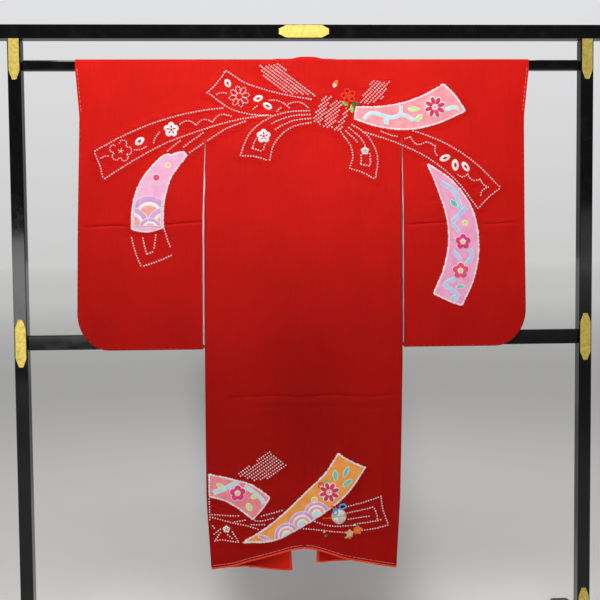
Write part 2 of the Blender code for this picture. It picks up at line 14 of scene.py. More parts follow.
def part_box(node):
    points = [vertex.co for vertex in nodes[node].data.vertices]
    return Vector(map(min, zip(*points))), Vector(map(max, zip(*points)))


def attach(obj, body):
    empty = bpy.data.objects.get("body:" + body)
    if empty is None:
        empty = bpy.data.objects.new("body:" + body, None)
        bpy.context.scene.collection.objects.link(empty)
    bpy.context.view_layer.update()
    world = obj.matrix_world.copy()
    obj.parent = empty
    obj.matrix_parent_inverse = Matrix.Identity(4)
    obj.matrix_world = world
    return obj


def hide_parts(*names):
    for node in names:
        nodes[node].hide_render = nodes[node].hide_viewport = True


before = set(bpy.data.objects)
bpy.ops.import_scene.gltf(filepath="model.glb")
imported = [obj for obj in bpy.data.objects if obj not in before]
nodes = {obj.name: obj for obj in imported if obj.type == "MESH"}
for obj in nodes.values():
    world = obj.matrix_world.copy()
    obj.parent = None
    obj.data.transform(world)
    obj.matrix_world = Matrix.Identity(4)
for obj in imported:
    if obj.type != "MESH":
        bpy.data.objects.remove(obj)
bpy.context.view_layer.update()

# Camera
# It stands 2.3 m in front of the back of the kimono, a little to the left of its middle, and
# looks slightly to the right and down.
EYE = (-0.111, -2.300, 0.967)
TURN_RIGHT = math.radians(2.406)
LOOK_DOWN = math.radians(3.025)
ROLL = math.radians(-0.511)
LENS = 57.12

camera_data = bpy.data.cameras.new("camera")
camera_data.sensor_width = 36.0
camera_data.lens = LENS
camera_data.clip_end = 400.0
camera = bpy.data.objects.new("camera", camera_data)
bpy.context.scene.collection.objects.link(camera)
camera.matrix_world = (Matrix.Translation(EYE) @ Matrix.Rotation(-TURN_RIGHT, 4, "Z")
                       @ Matrix.Rotation(math.pi / 2 - LOOK_DOWN, 4, "X") @ Matrix.Rotation(ROLL, 4, "Z"))
bpy.context.scene.camera = camera
bpy.context.scene.view_settings.view_transform = "Standard"


# Floor, background and lights
# A plain pale floor runs back to a pale background and glows more far away, so that its edge doesn't show.
# Just behind the kimono it glows a little too, as painted light, except in a wedge of painted shadow of the
# kimono. One near soft light above the kimono makes its shoulders brighter than its hem, a weaker one stands
# low in front, and two low cards behind the camera are mirrored in the lacquer.
FLOOR_SIDE = 160.0
FLOOR_COLOUR = (0.66, 0.655, 0.645)
FLOOR_GLOW = (0.190, 0.188, 0.182)
FLOOR_FAR_GLOW = (0.39, 0.388, 0.383)
FLOOR_EDGE_GLOW = (0.474, 0.472, 0.468)
# each pair is where a soft step starts and ends: the near glow, from front to back, and the two
# far ones, by their distance from the stand
NEAR_GLOW, FAR_GLOW, EDGE_GLOW = (-0.2, 0.3), (2.0, 18.0), (14.0, 78.0)
# how much further away the far glow starts in front of the kimono, and where that ends
FRONT_CLEAR = 3.0
FRONT_STEP = (-1.0, 0.5)
# painted shadow of the kimono: a wedge of floor where the near glow is left out, as if the front fill were
# kept off it. Its sides are given as distance right for each metre back from that light, and then its far
# end
SHADOW_LEFT, SHADOW_RIGHT, SHADOW_END = (-0.100, -0.042), (0.064, 0.145), (3.5, 8.0)
BACKGROUND_LOW = (0.60, 0.597, 0.593)
BACKGROUND_HIGH = (0.77, 0.773, 0.79)
BACKGROUND_BOTTOM, BACKGROUND_TOP = -0.02, 0.26
FILL_IN_FRONT, FILL_BEHIND = 0.10, 0.40
FRONT_FILL_PLACE = (0.00, -2.70, 0.80)
# name, place, what it points at, width, height, watts
LIGHTS = (
    ("key light", (-0.15, -1.25, 2.55), (0.0, 0.0, 1.25), 1.6, 0.8, 34.0),
    ("front fill", FRONT_FILL_PLACE, (0.0, 0.0, 0.50), 1.8, 1.0, 9.6),
    ("left fill", (-2.60, -1.90, 1.40), (0.0, 0.0, 0.85), 1.2, 1.8, 4.0),
    ("rear fill", (0.10, 1.60, 2.50), (0.0, 0.2, 0.60), 2.0, 1.4, 16.0),
    ("left card", (-1.98, -5.00, 0.705), (-0.70, 0.0, 0.705), 1.4, 0.73, 12.5),
    ("right card", (2.52, -5.00, 1.00), (0.70, 0.0, 1.00), 0.5, 0.5, 0.5),
)


class Socket:
    """A value in a material, so that its maths can be written as Python."""

    def __init__(self, look, output):
        self.look = look
        self.output = output

    def maths(self, operation, *values, clamp=False):
        settings = {"operation": operation, "use_clamp": clamp}
        return self.look.node("ShaderNodeMath", settings, dict(enumerate(values)))

    def __add__(self, other):
        return self.maths("ADD", self, other)

    def __sub__(self, other):
        return self.maths("SUBTRACT", self, other)

    def __rsub__(self, other):
        return self.maths("SUBTRACT", other, self)

    def __mul__(self, other):
        return self.maths("MULTIPLY", self, other)

    def __truediv__(self, other):
        return self.maths("DIVIDE", self, other)

    def __pow__(self, other):
        return self.maths("POWER", self, other)

    __radd__ = __add__
    __rmul__ = __mul__

    def step(self, low, high):
        """0 below low and 1 above high, with a soft step between."""
        inputs = {"Value": self, "From Min": low, "From Max": high}
        return self.look.node("ShaderNodeMapRange", {"interpolation_type": "SMOOTHSTEP"}, inputs)


class Look:
    """A procedural material on one Principled shader."""

    def __init__(self, name, constants):
        self.material = bpy.data.materials.new(name)
        self.material.use_nodes = True
        self.tree = self.material.node_tree
        self.shader = self.tree.nodes["Principled BSDF"]
        for key, value in constants.items():
            self.shader.inputs[key].default_value = value
        self.object_place = self.node("ShaderNodeTexCoord", output="Object")

    def node(self, kind, settings=None, inputs=None, output=0):
        made = self.tree.nodes.new(kind)
        for key, value in (settings or {}).items():
            setattr(made, key, value)
        for key, value in (inputs or {}).items():
            if isinstance(value, Socket):
                self.tree.links.new(value.output, made.inputs[key])
            else:
                made.inputs[key].default_value = value
        return Socket(self, made.outputs[output])

    def axis(self, number):
        """One of the object coordinates: 0 to the right, 1 to the back and 2 up."""
        return self.node("ShaderNodeSeparateXYZ", None, {0: self.object_place}, output=number)

    def noise(self, scale, detail=2.0, place=None):
        inputs = {"Vector": place or self.object_place, "Scale": scale, "Detail": detail}
        return self.node("ShaderNodeTexNoise", None, inputs)

    def threads(self, across, down, detail=2.0):
        """Noise drawn out along the threads, from its scales across and down the cloth."""
        inputs = {"Vector": self.object_place, "Scale": (across, across, down)}
        return self.noise(1.0, detail, self.node("ShaderNodeMapping", None, inputs))

    def attribute(self, name):
        return self.node("ShaderNodeAttribute", {"attribute_name": name}, output="Fac")

    def mix(self, factor, first, second):
        """Colour mixed from two colours, each given as red, green and blue or as a socket."""
        first, second = (c if isinstance(c, Socket) else (*c, 1.0) for c in (first, second))
        inputs = {0: factor, 6: first, 7: second}
        return self.node("ShaderNodeMix", {"data_type": "RGBA"}, inputs, output=2)

    def feed(self, name, value):
        self.tree.links.new(value.output, self.shader.inputs[name])

    def bump(self, height, distance, strength=1.0):
        inputs = {"Height": height, "Distance": distance, "Strength": strength}
        self.feed("Normal", self.node("ShaderNodeBump", None, inputs))


def finished(form, name, smooth=True):
    """Mesh of a form that needs no more work."""
    for face in form.faces:
        face.smooth = smooth
    mesh = bpy.data.meshes.new(name)
    form.to_mesh(mesh)
    form.free()
    return mesh


form = bmesh.new()
bmesh.ops.create_grid(form, x_segments=8, y_segments=8, size=FLOOR_SIDE / 2)
floor_mesh = finished(form, "floor")
floor = bpy.data.objects.new("floor", floor_mesh)
bpy.context.scene.collection.objects.link(floor)
floor_look = Look("pale_floor", {"Base Color": (*FLOOR_COLOUR, 1.0), "Roughness": 0.6,
                                 "Specular IOR Level": 0.2, "Emission Strength": 1.0})
floor_right, floor_back = floor_look.axis(0), floor_look.axis(1)
# painted shadow: the near glow is left out of a wedge of floor behind the kimono, as if the kimono kept the
# front fill's light off it
bearing = floor_right / (floor_back - FRONT_FILL_PLACE[1])
painted_shadow = bearing.step(*SHADOW_LEFT) * (1 - bearing.step(*SHADOW_RIGHT)) * (1 - floor_back.step(*SHADOW_END))
floor_near = floor_look.mix(floor_back.step(*NEAR_GLOW) * (1 - painted_shadow), (0.0, 0.0, 0.0), FLOOR_GLOW)
away = (floor_right * floor_right + floor_back * floor_back) ** 0.5
away = away - (1 - floor_back.step(*FRONT_STEP)) * FRONT_CLEAR
floor_far = floor_look.mix(away.step(*FAR_GLOW), floor_near, FLOOR_FAR_GLOW)
floor_look.feed("Emission Color", floor_look.mix(away.step(*EDGE_GLOW), floor_far, FLOOR_EDGE_GLOW))
floor_mesh.materials.append(floor_look.material)

world = bpy.data.worlds.new("pale background")
world.use_nodes = True
bpy.context.scene.world = world
sky = world.node_tree
sky_place = sky.nodes.new("ShaderNodeTexCoord")
sky_parts = sky.nodes.new("ShaderNodeSeparateXYZ")
sky_level = sky.nodes.new("ShaderNodeMapRange")
sky_level.inputs["From Min"].default_value = BACKGROUND_BOTTOM
sky_level.inputs["From Max"].default_value = BACKGROUND_TOP
sky_colour = sky.nodes.new("ShaderNodeMix")
sky_colour.data_type = "RGBA"
sky_colour.inputs[6].default_value = (*BACKGROUND_LOW, 1.0)
sky_colour.inputs[7].default_value = (*BACKGROUND_HIGH, 1.0)
sky_rays = sky.nodes.new("ShaderNodeLightPath")
sky_strength = sky.nodes.new("ShaderNodeMapRange")
sky_strength.inputs["To Max"].default_value = 1.0
sky_fill = sky.nodes.new("ShaderNodeMapRange")
sky_fill.inputs["From Min"].default_value = -1.0
sky_fill.inputs["To Min"].default_value = FILL_IN_FRONT
sky_fill.inputs["To Max"].default_value = FILL_BEHIND
background = sky.nodes["Background"]
sky.links.new(sky_place.outputs["Generated"], sky_parts.inputs[0])
sky.links.new(sky_parts.outputs["Z"], sky_level.inputs["Value"])
sky.links.new(sky_level.outputs[0], sky_colour.inputs[0])
sky.links.new(sky_colour.outputs[2], background.inputs["Color"])
sky.links.new(sky_parts.outputs["Y"], sky_fill.inputs["Value"])
sky.links.new(sky_fill.outputs[0], sky_strength.inputs["To Min"])
sky.links.new(sky_rays.outputs["Is Camera Ray"], sky_strength.inputs["Value"])
sky.links.new(sky_strength.outputs[0], background.inputs["Strength"])

for name, place, target, width, height, watts in LIGHTS:
    lamp = bpy.data.lights.new(name, "AREA")
    lamp.shape = "RECTANGLE"
    lamp.size = width
    lamp.size_y = height
    lamp.energy = watts
    lit = bpy.data.objects.new(name, lamp)
    bpy.context.scene.collection.objects.link(lit)
    aim = (Vector(target) - Vector(place)).to_track_quat("-Z", "Y")
    lit.matrix_world = Matrix.Translation(place) @ aim.to_matrix().to_4x4()


# Lacquered stand
# Beam, rod, rail, posts and feet are wood under many coats of black lacquer, rubbed to a gloss.
# The lacquer is very slightly wavy and holds a little dust.
LACQUER_BLACK = (0.0030, 0.0030, 0.0034)
LACQUER_WORN = (0.0070, 0.0066, 0.0066)

lacquer = Look("black_lacquer", {"Specular IOR Level": 0.40, "Coat Weight": 0.20, "Coat Roughness": 0.06})
dust = lacquer.noise(38.0, 4.0)
lacquer.feed("Base Color", lacquer.mix(dust.step(0.45, 0.75), LACQUER_BLACK, LACQUER_WORN))
lacquer.feed("Roughness", 0.08 + dust.step(0.4, 0.8) * 0.06)
lacquer.bump(lacquer.noise(9.0, 1.0), 0.0006, 0.25)
for name in ("top_beam", "hanging_rod", "low_rail", "post_left", "post_right", "foot_left", "foot_right"):
    nodes[name].data.materials.clear()
    nodes[name].data.materials.append(lacquer.material)


# Gilt plates
# Thin brass plates, gilt and burnished, with a raised rim, engraved scrolls and a round-headed
# nail at each end. They cover the joints of the posts with the beam, the rail and the feet.
PLATE_RIM = 0.0016
PLATE_RISE = 0.0004
NAIL_RADIUS = 0.0013
NAIL_INSET = 0.0075
SCROLL_WIRE = 0.00028
SCROLL_STEP = 0.0105
SCROLL_RADIUS = 0.0036
SCROLL_OFF = 0.0052
SCROLL_TURN = 1.6 * math.pi
SCROLL_CLOSES = 0.68
STEM_SWING = 0.0016
# points that lie closer than this are one
DOUBLES = 0.00002
# width of a plate's tip and length of its point
POST_PLATE_END = (0.010, 0.021)
BEAM_PLATE_END = (0.012, 0.017)
# how far the outer edge of a plate's rim is taken off
PLATE_BEVEL = 0.0003
GOLD = (1.00, 0.80, 0.20)
GOLD_DEEP = (0.78, 0.56, 0.10)

gilt = Look("gilt_brass", {"Specular IOR Level": 0.6})
tarnish = gilt.noise(120.0, 3.0)
gilt.feed("Base Color", gilt.mix(tarnish.step(0.35, 0.75), GOLD, GOLD_DEEP))
gilt.feed("Metallic", 0.72 + tarnish * 0.1)
gilt.feed("Roughness", 0.30 + tarnish * 0.16)
gilt.bump(gilt.noise(1500.0, 1.0), 0.0001, 0.4)


def new_piece(name, mesh, looks):
    """Object at the origin that rides on the one body, with its materials in order."""
    mesh.name = name
    for look in looks:
        mesh.materials.append(look.material)
    made = bpy.data.objects.new(name, mesh)
    bpy.context.scene.collection.objects.link(made)
    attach(made, "root")
    return made


def mesh_from(form, name, smooth=True):
    """Finished mesh of a form, its doubles merged and its faces turned outwards."""
    bmesh.ops.remove_doubles(form, verts=form.verts, dist=DOUBLES)
    bmesh.ops.recalc_face_normals(form, faces=form.faces)
    return finished(form, name, smooth)


def curve_through(rows, count):
    """Points along a smooth curve through a table's rows, all of its columns read together."""
    rows = np.array(rows, float)
    spans = len(rows) - 1
    held = np.vstack((2 * rows[0] - rows[1], rows, 2 * rows[-1] - rows[-2]))
    at = np.linspace(0, spans, count)
    first = np.minimum(at.astype(int), spans - 1)
    t = (at - first)[:, None]
    a, b, c, d = (held[first + step] for step in range(4))
    return 0.5 * (2 * b + (c - a) * t + (2 * a - 5 * b + 4 * c - d) * t ** 2
                  + (3 * b - a - 3 * c + d) * t ** 3)


def add_grid(form, points, material=0):
    """Grid of faces moved onto an array of points, rows by columns."""
    along, across = points.shape[:2]
    made = bmesh.ops.create_grid(form, x_segments=across - 1, y_segments=along - 1, size=1.0)
    for vert in made["verts"]:
        column = round((vert.co.x + 1) / 2 * (across - 1))
        row = round((vert.co.y + 1) / 2 * (along - 1))
        vert.co = points[row, column]
        for face in vert.link_faces:
            face.material_index = material
    return made["verts"]


def add_tube(form, path, radius, flat=1.0, up=(0.0, -1.0, 0.0), sides=6, material=0):
    """Round or flattened tube along a path, drawn to a point at both ends unless it is closed."""
    closed = np.linalg.norm(path[0] - path[-1]) < 1e-6
    if closed:
        ahead = np.roll(path[:-1], -1, 0) - np.roll(path[:-1], 1, 0)
        ahead = np.vstack((ahead, ahead[:1]))
    else:
        ahead = np.gradient(path, axis=0)
    ahead /= np.linalg.norm(ahead, axis=1)[:, None]
    across = np.cross(ahead, np.array(up))
    across /= np.linalg.norm(across, axis=1)[:, None]
    out = np.cross(across, ahead)
    size = np.full(len(path), radius)
    if not closed:
        path = np.vstack((path[:1] - ahead[:1] * radius * 0.5, path, path[-1:] + ahead[-1:] * radius * 0.5))
        across = np.vstack((across[:1], across, across[-1:]))
        out = np.vstack((out[:1], out, out[-1:]))
        size = np.concatenate(([0.0], size, [0.0]))
    turn = np.linspace(0, 2 * math.pi, sides + 1)
    ring = (across[:, None] * np.cos(turn)[None, :, None]
            + out[:, None] * np.sin(turn)[None, :, None] * flat)
    add_grid(form, path[:, None] + ring * size[:, None, None], material)


def scatter(form, pattern, places):
    """Copies of a small mesh, one at each of many places."""
    for place in places:
        pattern.transform(place)
        form.from_mesh(pattern)
        pattern.transform(place.inverted())


def build_nail():
    form = bmesh.new()
    bmesh.ops.create_uvsphere(form, u_segments=10, v_segments=5, radius=NAIL_RADIUS)
    bmesh.ops.scale(form, vec=(1.0, 0.55, 1.0), verts=form.verts)
    return mesh_from(form, "nail")


def plate_outline(length, width, tip, point, pointed):
    """Half outline of a plate, as distance along it and half width."""
    near = [(0.0, tip / 2), (point, width / 2)] if pointed else [(0.0, width / 2)]
    return near + [(length - point, width / 2), (length, tip / 2)]


def build_plate(node):
    """Plate in its node's place, along X or Z, facing the way that its node faces."""
    low, high = (np.array(corner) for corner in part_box(node))
    kind = node.split("_")[1]
    tip, point = BEAM_PLATE_END if kind == "beam" else POST_PLATE_END
    facing = -1.0 if low[1] < 0 else 1.0
    long_axis, wide_axis = (0, 2) if kind == "beam" else (2, 0)
    length, width = high[long_axis] - low[long_axis], high[wide_axis] - low[wide_axis]
    middle = (low[wide_axis] + high[wide_axis]) / 2
    # the blunt end of a top plate is its upper one
    start, way = (high[long_axis], -1.0) if kind == "top" else (low[long_axis], 1.0)
    base = low[1] if facing > 0 else high[1]
    outline = plate_outline(length, width, tip, point, kind in ("middle", "beam"))
    thickness = high[1] - low[1]
    field = thickness - PLATE_RISE

    def at(along, across, rise):
        place = np.zeros(3)
        place[long_axis] = start + way * along
        place[wide_axis] = middle + across
        place[1] = base + facing * rise
        return place

    form = bmesh.new()
    # ring by ring: foot of the edge, its top, and the two lines of the raised rim
    rings = ((0.0, 0.0), (0.0, thickness - PLATE_BEVEL / 3), (PLATE_BEVEL, thickness),
             (PLATE_RIM, thickness), (PLATE_RIM + PLATE_RISE, field))
    grid = []
    for inset, rise in rings:
        row = [at(min(max(along, inset), length - inset), hand * (half - inset), rise)
               for hand, part in ((1, outline), (-1, outline[::-1])) for along, half in part]
        grid.append(row + row[:1])
    add_grid(form, np.array(grid))
    bmesh.ops.remove_doubles(form, verts=form.verts, dist=DOUBLES / 2)
    bmesh.ops.holes_fill(form, edges=form.edges)
    mesh = mesh_from(form, node, smooth=False)
    form = bmesh.new()
    form.from_mesh(mesh)
    ends = (NAIL_INSET, length - NAIL_INSET)
    scatter(form, nail, [Matrix.Translation(at(along, 0.0, field)) for along in ends])
    # a wavy stem along the middle of the plate, with a scroll to its left and right by turns
    count = int((length - 4 * NAIL_INSET) / SCROLL_STEP) + 1
    first = (length - (count - 1) * SCROLL_STEP) / 2
    stem = [at(first - SCROLL_STEP + (count + 1) * SCROLL_STEP * t,
               STEM_SWING * math.sin(math.pi * (count + 1) * t), field)
            for t in np.linspace(0.06, 0.94, 10 * count)]
    add_tube(form, np.array(stem), SCROLL_WIRE, up=(0.0, facing, 0.0), sides=5)
    for step in range(count):
        hand = 1 if step % 2 else -1
        curl = []
        for t in np.linspace(0.0, 1.0, 18):
            angle = -math.pi / 2 + t * SCROLL_TURN
            radius = SCROLL_RADIUS * (1.0 - SCROLL_CLOSES * t)
            curl.append(at(first + step * SCROLL_STEP + radius * math.cos(angle),
                           hand * (SCROLL_OFF + radius * math.sin(angle)), field))
        add_tube(form, np.array(curl), SCROLL_WIRE, up=(0.0, facing, 0.0), sides=5)
    form.to_mesh(mesh)
    form.free()
    plate = new_piece("gilt_" + node, mesh, [gilt])
    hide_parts(node)


nail = build_nail()
for name in sorted(nodes):
    if name.startswith("plate_"):
        build_plate(name)


# How the cloth hangs
# The silk goes over the rod, hangs down on both sides of it and is pushed forwards by the low
# rail. The fronts turn back on themselves behind the back panel.
ROD_FLAT = 0.005
WRAP_RADIUS = 0.0053
WRAP_CENTRE = 1.4145
UNDER_ROD = 1.3937
HEM_LEVEL = 0.195
SIDE_SEAM_TOP = 1.172
COLLAR_TIP = 0.845
OKUMI_TIP = 1.205
SLEEVE_BOTTOM = 0.731
CUFF_END = 1.278
NECK_HALF = 0.073
SIDE_HALF = 0.2349
PANEL_WIDTH = 0.200
FRONT_WIDTH = 0.325
COLLAR_WIDTH = 0.050
NECK_EDGE = -0.014
SIDE_BLEND = 0.060
SEAM_GAP = 0.0003
SILK_WALL = 0.0011
FRONT_WAVE_LENGTH = 0.080
FRONT_WAVE_DEPTH = 0.0016
RIPPLE_DEPTH = 0.0009
# how much of the creases of the outer layer the layer behind it shows
CREASED_BEHIND = 0.8
# how far a pressed crease wanders off its line and how fast, the length over which it ends, and the
# share and half width of the soft swelling beside it
CREASE_WANDER, CREASE_WAVES = 0.002, 41.0
CREASE_END = 0.015
CREASE_SWELL, CREASE_SWELL_HALF = 0.4, 0.016
# level, half width of the body at the side seam
SIDE = ((0.195, 0.2240), (0.260, 0.2275), (0.360, 0.2335), (0.500, 0.2350), (0.700, 0.2365),
        (1.200, 0.2343), (1.248, 0.2349), (1.420, 0.2349))
# level, how far the hanging cloth has swayed along the rod
SWAY = ((0.190, -0.0105), (0.360, -0.0105), (0.700, -0.0065), (1.030, -0.0050), (1.240, -0.0020),
        (1.390, 0.0000), (1.420, 0.0000))
# level, back panel, front panel, middle of the side seam, half the gap at the side seam
HANG = ((0.1950, -0.0300, -0.0190, -0.0245, 0.0032), (0.7800, -0.0310, -0.0196, -0.0252, 0.0032),
        (1.1720, -0.0145, 0.0010, -0.0065, 0.0035), (1.2480, -0.0118, 0.0050, -0.0034, 0.0084),
        (1.3937, -0.0103, 0.0103, 0.0000, 0.0103))
# distance right of the centre back, how far the hem of the back rises above the side's lowest level
HEM_ARCH = ((-0.260, 0.0020), (-0.224, 0.0060), (-0.188, 0.0110), (-0.150, 0.0180), (-0.112, 0.0275),
            (-0.067, 0.0405), (-0.036, 0.0490), (-0.010, 0.0520), (0.010, 0.0515), (0.026, 0.0490),
            (0.056, 0.0405), (0.096, 0.0270), (0.134, 0.0165), (0.174, 0.0105), (0.212, 0.0030),
            (0.224, 0.0000), (0.260, -0.0040))
# distance across the front from the side seam, rise of the left front's hem, of the right front's
FRONT_HEM = ((0.000, 0.0060, 0.0000), (0.045, 0.0082, 0.0110), (0.090, 0.0088, 0.0165),
             (0.125, 0.0045, 0.0185), (0.160, -0.0005, 0.0175), (0.185, -0.0030, 0.0145),
             (0.200, -0.0035, 0.0150), (0.240, -0.0020, 0.0160), (0.325, 0.0040, 0.0210))
# level, width of the front from the side seam to the seam of the collar
COLLAR_SEAM = ((0.8450, 0.2750), (1.2050, 0.2000), (1.3937, 0.1619), (1.4200, 0.1619))
# level, where the front turns back on itself, share of its width that hangs flat, turn's radius
TURN = ((0.1950, 0.2020, 0.94, 0.0045), (0.7800, 0.2020, 0.97, 0.0045), (1.2050, 0.2020, 1.00, 0.0055),
        (1.3160, 0.2090, 1.00, 0.0100), (1.3937, 0.2140, 1.00, 0.0140))
# centre of a soft fold of the back, its half width, its depth at the hem, the level where it fades
BACK_FOLDS = ((-0.180, 0.030, 0.0035, 0.60), (-0.135, 0.026, -0.0040, 0.75), (-0.060, 0.034, 0.0040, 0.55),
              (0.012, 0.026, -0.0030, 0.80), (0.085, 0.030, 0.0045, 0.70), (0.140, 0.028, -0.0030, 0.55),
              (0.190, 0.024, 0.0040, 0.65))
# level, inner edge of the sleeve
SLEEVE_INNER = ((0.731, 0.2425), (1.050, 0.2412), (1.180, 0.2374), (1.248, 0.2349), (1.420, 0.2349))
# level, outer edge of the sleeve
SLEEVE_OUTER = ((0.821, 0.5395), (1.030, 0.5360), (1.278, 0.5315), (1.420, 0.5425))
# level, back layer of the sleeve, front layer
SLEEVE_HANG = ((0.7310, -0.0170, -0.01005), (0.7900, -0.0170, -0.01005), (1.2480, -0.0118, 0.0050),
               (1.3937, -0.0103, 0.0103))
# level, half the gap between the layers at the outer edge of the sleeve
SLEEVE_EDGE = ((0.731, 0.0023), (1.200, 0.0023), (1.278, 0.0030), (1.335, 0.0065), (1.394, 0.0103))
# pressed creases from folding: middle of one, level there, slope, half length, half width, depth
PRESSED = ((-0.486, 1.0262, -0.010, 0.070, 0.0026, 0.0046), (-0.284, 1.0325, 0.004, 0.050, 0.0026, 0.0046),
           (0.298, 1.0277, -0.003, 0.056, 0.0028, 0.0044), (0.486, 1.0272, -0.003, 0.056, 0.0028, 0.0042),
           (-0.010, 1.0240, 0.004, 0.235, 0.0045, 0.0006), (0.030, 0.6150, -0.006, 0.215, 0.0036, 0.0030),
           (0.050, 0.5890, -0.010, 0.190, 0.0045, 0.0014), (0.000, 0.4020, 0.010, 0.200, 0.0050, 0.0004))
# soft troughs and ridges: middle, level, direction in degrees, half length, half width, depth
CREASES = (
    (-0.310, 1.330, 8, 0.090, 0.012, 0.0007), (-0.420, 1.180, 62, 0.110, 0.016, -0.0010),
    (-0.300, 1.110, 80, 0.120, 0.014, 0.0009), (-0.470, 0.930, 84, 0.120, 0.015, 0.0010),
    (-0.350, 0.860, 95, 0.110, 0.018, -0.0011), (-0.280, 0.940, 88, 0.090, 0.012, 0.0008),
    (0.300, 1.080, 98, 0.110, 0.014, 0.0009), (0.455, 1.200, 112, 0.090, 0.014, -0.0009),
    (0.480, 0.900, 94, 0.130, 0.016, 0.0010), (0.340, 0.830, 85, 0.090, 0.015, -0.0009),
    (0.420, 0.790, 20, 0.070, 0.010, 0.0006), (0.130, 1.350, -22, 0.090, 0.013, -0.0008),
    (-0.120, 1.360, 24, 0.080, 0.013, -0.0007), (0.170, 1.290, -40, 0.060, 0.010, 0.0007),
    (-0.060, 1.150, 76, 0.110, 0.016, 0.0007), (0.090, 1.060, 96, 0.130, 0.018, -0.0009),
    (-0.150, 0.960, 92, 0.140, 0.016, 0.0009), (0.180, 0.850, 86, 0.150, 0.017, 0.0009),
    (0.030, 0.760, 91, 0.140, 0.020, -0.0010), (-0.080, 0.660, 95, 0.120, 0.015, 0.0009),
    (0.120, 0.560, 84, 0.110, 0.014, -0.0010), (-0.195, 0.700, 88, 0.160, 0.013, -0.0008),
    (0.205, 0.520, 93, 0.140, 0.011, 0.0009), (-0.020, 0.450, 82, 0.090, 0.014, 0.0009),
    (0.060, 0.330, 74, 0.090, 0.013, 0.0011), (-0.100, 0.360, 100, 0.100, 0.014, -0.0010),
    (0.136, 1.343, -12, 0.026, 0.006, 0.0022), (0.311, 1.083, 8, 0.030, 0.006, 0.0014),
    (0.316, 1.040, 0, 0.034, 0.007, 0.0012), (0.480, 1.040, 4, 0.050, 0.008, 0.0014),
    (0.470, 1.005, -6, 0.045, 0.009, -0.0012), (0.475, 0.962, 3, 0.050, 0.010, 0.0012),
    (-0.205, 0.330, 90, 0.110, 0.010, 0.0010), (0.160, 0.300, 97, 0.090, 0.012, -0.0011),
)
SEAM_DIP = 0.00025
SEAM_HALF = 0.0022
# how far the closer rows reach above and below a pressed crease, and the least gap between rows
CREASE_ROWS = 0.0096
CLOSEST_ROWS = 0.0009


def ease(share):
    """Soft step from 0 to 1."""
    share = np.clip(share, 0.0, 1.0)
    return share * share * (3.0 - 2.0 * share)


def rounded(table, reach=0.020):
    """A short table's columns as functions of its first one, with the corners rounded off."""
    rows = np.array(table)
    start = rows[0] - (rows[1] - rows[0]) / (rows[1, 0] - rows[0, 0])
    end = rows[-1] + (rows[-1] - rows[-2]) / (rows[-1, 0] - rows[-2, 0])
    rows = np.vstack((start, rows, end))

    steps = (-1, -0.5, 0, 0.5, 1)

    def column(values):
        return lambda at: sum(np.interp(at + step * reach, rows[:, 0], values)
                              for step in steps) / len(steps)

    return [column(rows[:, index]) for index in range(1, rows.shape[1])]


side_width, = rounded(SIDE)
sway, = rounded(SWAY)
hang_back, hang_front, seam_middle, seam_half = rounded(HANG, 0.025)
arch_rise, = rounded(HEM_ARCH, 0.012)
front_rise = dict(zip((-1, 1), rounded(FRONT_HEM, 0.012)))
collar_seam, = rounded(COLLAR_SEAM, 0.004)
turn_at, flat_share, turn_radius = rounded(TURN, 0.015)
sleeve_inner, = rounded(SLEEVE_INNER, 0.004)
sleeve_outer, = rounded(SLEEVE_OUTER)
sleeve_back, sleeve_front = rounded(SLEEVE_HANG, 0.025)
sleeve_edge, = rounded(SLEEVE_EDGE)


def folds(x, z):
    """How far the soft folds of the back push it out, growing down to the hem."""
    total = 0.0
    for centre, half_width, depth, fades in BACK_FOLDS:
        grown = ease((fades - z) / (fades - HEM_LEVEL))
        total = total + depth * grown * np.exp(-((x - centre) / half_width) ** 2)
    return total


def creases(x, z):
    """How far pressed creases and soft wrinkles move the cloth inwards."""
    total = 0.0
    for centre, level, slope, half_length, half_width, depth in PRESSED:
        off = z - level - slope * (x - centre) - CREASE_WANDER * np.sin((x - centre) * CREASE_WAVES)
        ends = ease((half_length - np.abs(x - centre)) / CREASE_END)
        swell = CREASE_SWELL * np.exp(-(off / CREASE_SWELL_HALF) ** 2)
        total = total + depth * ends * (np.exp(-np.abs(off) / half_width) - swell)
    for centre, level, degrees, half_length, half_width, depth in CREASES:
        angle = math.radians(degrees)
        along = (x - centre) * math.cos(angle) + (z - level) * math.sin(angle)
        bend = 0.16 * along ** 2 / half_length
        off = (z - level) * math.cos(angle) - (x - centre) * math.sin(angle) - bend
        total = total + depth * ease(1.15 - np.abs(along) / half_length) * np.exp(-(off / half_width) ** 2)
    return total


def over_rod(x, length, lift=0.0):
    """Cloth over the rod, at a length along it from the middle of the rod's top."""
    radius = WRAP_RADIUS + lift
    away = np.abs(length)
    angle = np.clip((away - ROD_FLAT) / radius, 0.0, math.pi / 2)
    y = np.minimum(away, ROD_FLAT) + radius * np.sin(angle)
    down = np.maximum(away - ROD_FLAT - radius * math.pi / 2, 0.0)
    z = WRAP_CENTRE + radius * np.cos(angle) - down
    return np.stack(np.broadcast_arrays(x, np.sign(length) * y, z), -1)


ROD_REACH = ROD_FLAT + WRAP_RADIUS * math.pi / 2 + WRAP_CENTRE - UNDER_ROD


def hung(side, x, y, z):
    """Points of one half, x measured out from the middle of the cloth, with the cloth's sway."""
    return np.stack(np.broadcast_arrays(side * x + sway(z), y, z), -1)


def back_face(side, x, z):
    """Back panel, x measured out from the centre seam."""
    inward = ease((side_width(z) - x) / SIDE_BLEND)
    edge = seam_middle(z) - seam_half(z)
    y = edge + (hang_back(z) - folds(side * x, z) + creases(side * x, z) - edge) * inward
    for from_seam in (x, side_width(z) - x):
        y = y + SEAM_DIP * np.exp(-(from_seam / SEAM_HALF) ** 2)
    return hung(side, x, y, z)


